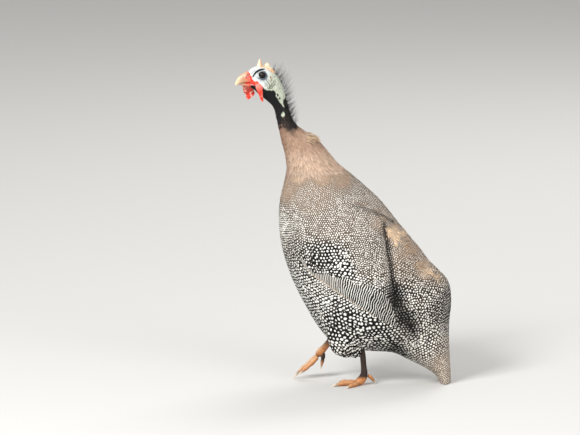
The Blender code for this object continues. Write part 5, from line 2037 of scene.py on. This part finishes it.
def build_stage(stage):
    scene = bpy.context.scene
    bm = bmesh.new()
    bmesh.ops.create_grid(bm, x_segments=1, y_segments=1, size=stage.floor_size / 2)
    material, _, shader = new_material("floor", 0.9, 0.2)
    shader.inputs["Base Color"].default_value = (*stage.floor_colour, 1)
    floor = plain_object("floor", bm, [material])
    floor.data.transform(Matrix.Scale(1 / MM, 4))
    floor.data.update()

    world = bpy.data.worlds.new("soft_light")
    world.use_nodes = True
    sky = world.node_tree.nodes["Background"]
    sky.inputs["Color"].default_value = (1, 1, 1, 1)
    sky.inputs["Strength"].default_value = stage.ambient
    scene.world = world

    for name in ("key", "fill", "rim"):
        data = bpy.data.lights.new(name, "AREA")
        data.size = getattr(stage, f"{name}_size")
        data.energy = getattr(stage, f"{name}_power")
        light = bpy.data.objects.new(name, data)
        light.location = getattr(stage, f"{name}_place")
        light.rotation_euler = (LIGHT_AIM - light.location).to_track_quat("-Z", "Y").to_euler()
        scene.collection.objects.link(light)

    data = bpy.data.cameras.new("camera")
    data.lens, data.sensor_width = stage.lens, 36
    data.clip_end = 100
    camera = bpy.data.objects.new("camera", data)
    target = Vector(stage.target)
    rise = stage.elevation
    camera.location = target + Vector((math.cos(rise), 0, math.sin(rise))) * stage.distance
    camera.rotation_euler = (target - camera.location).to_track_quat("-Z", "Y").to_euler()
    scene.collection.objects.link(camera)
    scene.camera = camera
    scene.view_settings.view_transform = "Standard"


# ---------------------------------------------------------------- add-on


def value_of(kind, name, about, value, **more):
    return kind(name=name, description=about, default=value, **more)


def length_value(name, about, value):
    return value_of(FloatProperty, name, about, value, subtype="DISTANCE", unit="LENGTH", precision=5)


def colour_value(name, about, value):
    return value_of(FloatVectorProperty, name, about, value, size=3, subtype="COLOR", min=0, max=1)


def place_value(name, about, value):
    return value_of(FloatVectorProperty, name, about, value, precision=4)


def number_value(name, about, value):
    return value_of(FloatProperty, name, about, value)


def count_value(name, about, value):
    return value_of(IntProperty, name, about, value)


class GUINEAFOWL_PG_sizes(PropertyGroup):
    head_grain: length_value("Head grain", "Distance of the skin's rings on the bare head", 0.00055)
    leg_grain: length_value("Leg grain", "Size of the faces of the scaled legs", 0.0005)
    skin_segments: count_value("Skin segments", "Columns of faces round the skin", 160)


class GUINEAFOWL_PG_coat(PropertyGroup):
    depth: length_value("Depth", "How far the skin lies inside the feathers' outside", 0.0034)
    body_columns: count_value("Body columns", "Columns of feathers round the body", 40)
    cape_columns: count_value("Cape columns", "Columns of feathers round the neck's base", 84)
    wing_columns: count_value("Wing columns", "Columns of coverts across a wing", 12)
    tail_columns: count_value("Tail columns", "Columns of feathers round the tail", 20)
    thigh_columns: count_value("Thigh columns", "Columns of feathers round a thigh", 14)
    flight_feathers: count_value("Flight feathers", "Long feathers of each folded wing", 12)
    bristles: count_value("Bristles", "Bristles on the nape", 330)
    overlap: number_value("Overlap", "Length of a feather in rows", 3.1)
    spread: number_value("Spread", "Width of a feather in columns", 1.55)
    spot_shake: number_value("Spot shake", "How far spots lie off their places", 0.17)
    spot_softness: number_value("Spot softness", "Softness of a spot's edge", 0.05)
    black: colour_value("Black", "Ground colour of the dark feathers", (0.006, 0.005, 0.005))
    grey: colour_value("Grey", "Ground colour of the grizzled feathers", (0.22, 0.185, 0.15))
    tan: colour_value("Tan", "Ground colour of the warm feathers", (0.38, 0.25, 0.16))
    white: colour_value("White", "Colour of the spots", (0.92, 0.91, 0.86))
    buff: colour_value("Buff", "Colour of the spots on warm feathers", (0.80, 0.62, 0.44))


class GUINEAFOWL_PG_stage(PropertyGroup):
    floor_size: length_value("Floor size", "Side of the floor", 80.0)
    floor_colour: colour_value("Floor colour", "Colour of the floor", (0.62, 0.61, 0.59))
    ambient: number_value("Ambient", "Strength of the even light", 0.55)
    key_place: place_value("Key place", "Place of the main light", (2.8, -1.9, 2.7))
    key_size: length_value("Key size", "Side of the main light", 1.4)
    key_power: number_value("Key power", "Power of the main light in watts", 180)
    fill_place: place_value("Fill place", "Place of the soft light", (3.2, 2.6, 1.6))
    fill_size: length_value("Fill size", "Side of the soft light", 2.4)
    fill_power: number_value("Fill power", "Power of the soft light in watts", 70)
    rim_place: place_value("Rim place", "Place of the light behind", (-2.6, 1.2, 3.0))
    rim_size: length_value("Rim size", "Side of the light behind", 1.8)
    rim_power: number_value("Rim power", "Power of the light behind in watts", 60)
    target: place_value("Target", "Point the camera looks at", (0.0, -0.0833, 0.2589))
    elevation: value_of(FloatProperty, "Elevation", "How high above level the camera stands",
                        math.radians(9), subtype="ANGLE")
    distance: length_value("Distance", "How far the camera is from its target", 9.0)
    lens: number_value("Lens", "Focal length in millimetres", 360.4)


def run(*steps):
    """Runs an operator's steps, each a function and what it's given. One that makes nothing is an error."""
    for step, *given in steps:
        known = len(bpy.data.objects)
        step(*given)
        if len(bpy.data.objects) == known:
            raise RuntimeError(f"{step.__name__} made no piece")
    return {"FINISHED"}


class GUINEAFOWL_OT_skin(Operator):
    """Make the one skin of head, neck, trunk, wings, tail and legs"""

    bl_idname = "guineafowl.skin"
    bl_label = "Skin"

    def execute(self, context):
        return run((build_skin, context.scene.guineafowl_sizes, context.scene.guineafowl_coat))


class GUINEAFOWL_OT_bill(Operator):
    """Make the upper and the lower bill"""

    bl_idname = "guineafowl.bill"
    bl_label = "Bill"

    def execute(self, context):
        return run((build_bill,))


class GUINEAFOWL_OT_casque(Operator):
    """Make the horn on the crown"""

    bl_idname = "guineafowl.casque"
    bl_label = "Casque"

    def execute(self, context):
        return run((build_casque,))


class GUINEAFOWL_OT_eyes(Operator):
    """Make both eyes"""

    bl_idname = "guineafowl.eyes"
    bl_label = "Eyes"

    def execute(self, context):
        return run((build_eyes,))


class GUINEAFOWL_OT_claws(Operator):
    """Make the claws of all toes"""

    bl_idname = "guineafowl.claws"
    bl_label = "Claws"

    def execute(self, context):
        return run((build_claws,))


class GUINEAFOWL_OT_neck(Operator):
    """Make the neck's down, the nape's bristles and the cape"""

    bl_idname = "guineafowl.neck"
    bl_label = "Neck feathers"

    def execute(self, context):
        coat = context.scene.guineafowl_coat
        return run((build_neck_down,), (build_bristles, coat), (build_cape, coat))


class GUINEAFOWL_OT_body(Operator):
    """Make the feathers of back, breast, belly and rump"""

    bl_idname = "guineafowl.body"
    bl_label = "Body feathers"

    def execute(self, context):
        return run((build_body_feathers, context.scene.guineafowl_coat), (build_tufts,))


class GUINEAFOWL_OT_wings(Operator):
    """Make the coverts and the flight feathers of both wings"""

    bl_idname = "guineafowl.wings"
    bl_label = "Wing feathers"

    def execute(self, context):
        return run((build_wings, context.scene.guineafowl_coat))


class GUINEAFOWL_OT_tail(Operator):
    """Make the tail's coverts and long feathers"""

    bl_idname = "guineafowl.tail"
    bl_label = "Tail feathers"

    def execute(self, context):
        return run((build_tail, context.scene.guineafowl_coat))


class GUINEAFOWL_OT_thighs(Operator):
    """Make the feathers of both thighs"""

    bl_idname = "guineafowl.thighs"
    bl_label = "Thigh feathers"

    def execute(self, context):
        return run((build_thigh_feathers, context.scene.guineafowl_coat))


class GUINEAFOWL_OT_stage(Operator):
    """Make the floor, the lights and the camera"""

    bl_idname = "guineafowl.stage"
    bl_label = "Stage"

    def execute(self, context):
        return run((build_stage, context.scene.guineafowl_stage))


OPERATORS = (
    GUINEAFOWL_OT_skin, GUINEAFOWL_OT_bill, GUINEAFOWL_OT_casque, GUINEAFOWL_OT_eyes, GUINEAFOWL_OT_claws,
    GUINEAFOWL_OT_neck, GUINEAFOWL_OT_body, GUINEAFOWL_OT_wings, GUINEAFOWL_OT_tail, GUINEAFOWL_OT_thighs,
    GUINEAFOWL_OT_stage,
)


class GUINEAFOWL_PT_steps(Panel):
    """Lists the steps of the build in order"""

    bl_idname = "GUINEAFOWL_PT_steps"
    bl_label = "Guineafowl"
    bl_space_type = "VIEW_3D"
    bl_region_type = "UI"
    bl_category = "Guineafowl"

    def draw(self, context):
        for operator in OPERATORS:
            self.layout.operator(operator.bl_idname)


GROUPS = {"sizes": GUINEAFOWL_PG_sizes, "coat": GUINEAFOWL_PG_coat, "stage": GUINEAFOWL_PG_stage}
CLASSES = (*GROUPS.values(), *OPERATORS, GUINEAFOWL_PT_steps)


def register():
    for cls in CLASSES:
        bpy.utils.register_class(cls)
    for name, group in GROUPS.items():
        setattr(bpy.types.Scene, f"guineafowl_{name}", PointerProperty(type=group))


def unregister():
    for name in GROUPS:
        delattr(bpy.types.Scene, f"guineafowl_{name}")
    for cls in reversed(CLASSES):
        bpy.utils.unregister_class(cls)


def main():
    register()
    for operator in OPERATORS:
        getattr(bpy.ops.guineafowl, operator.bl_idname.split(".")[1])()


if __name__ == "__main__":
    main()
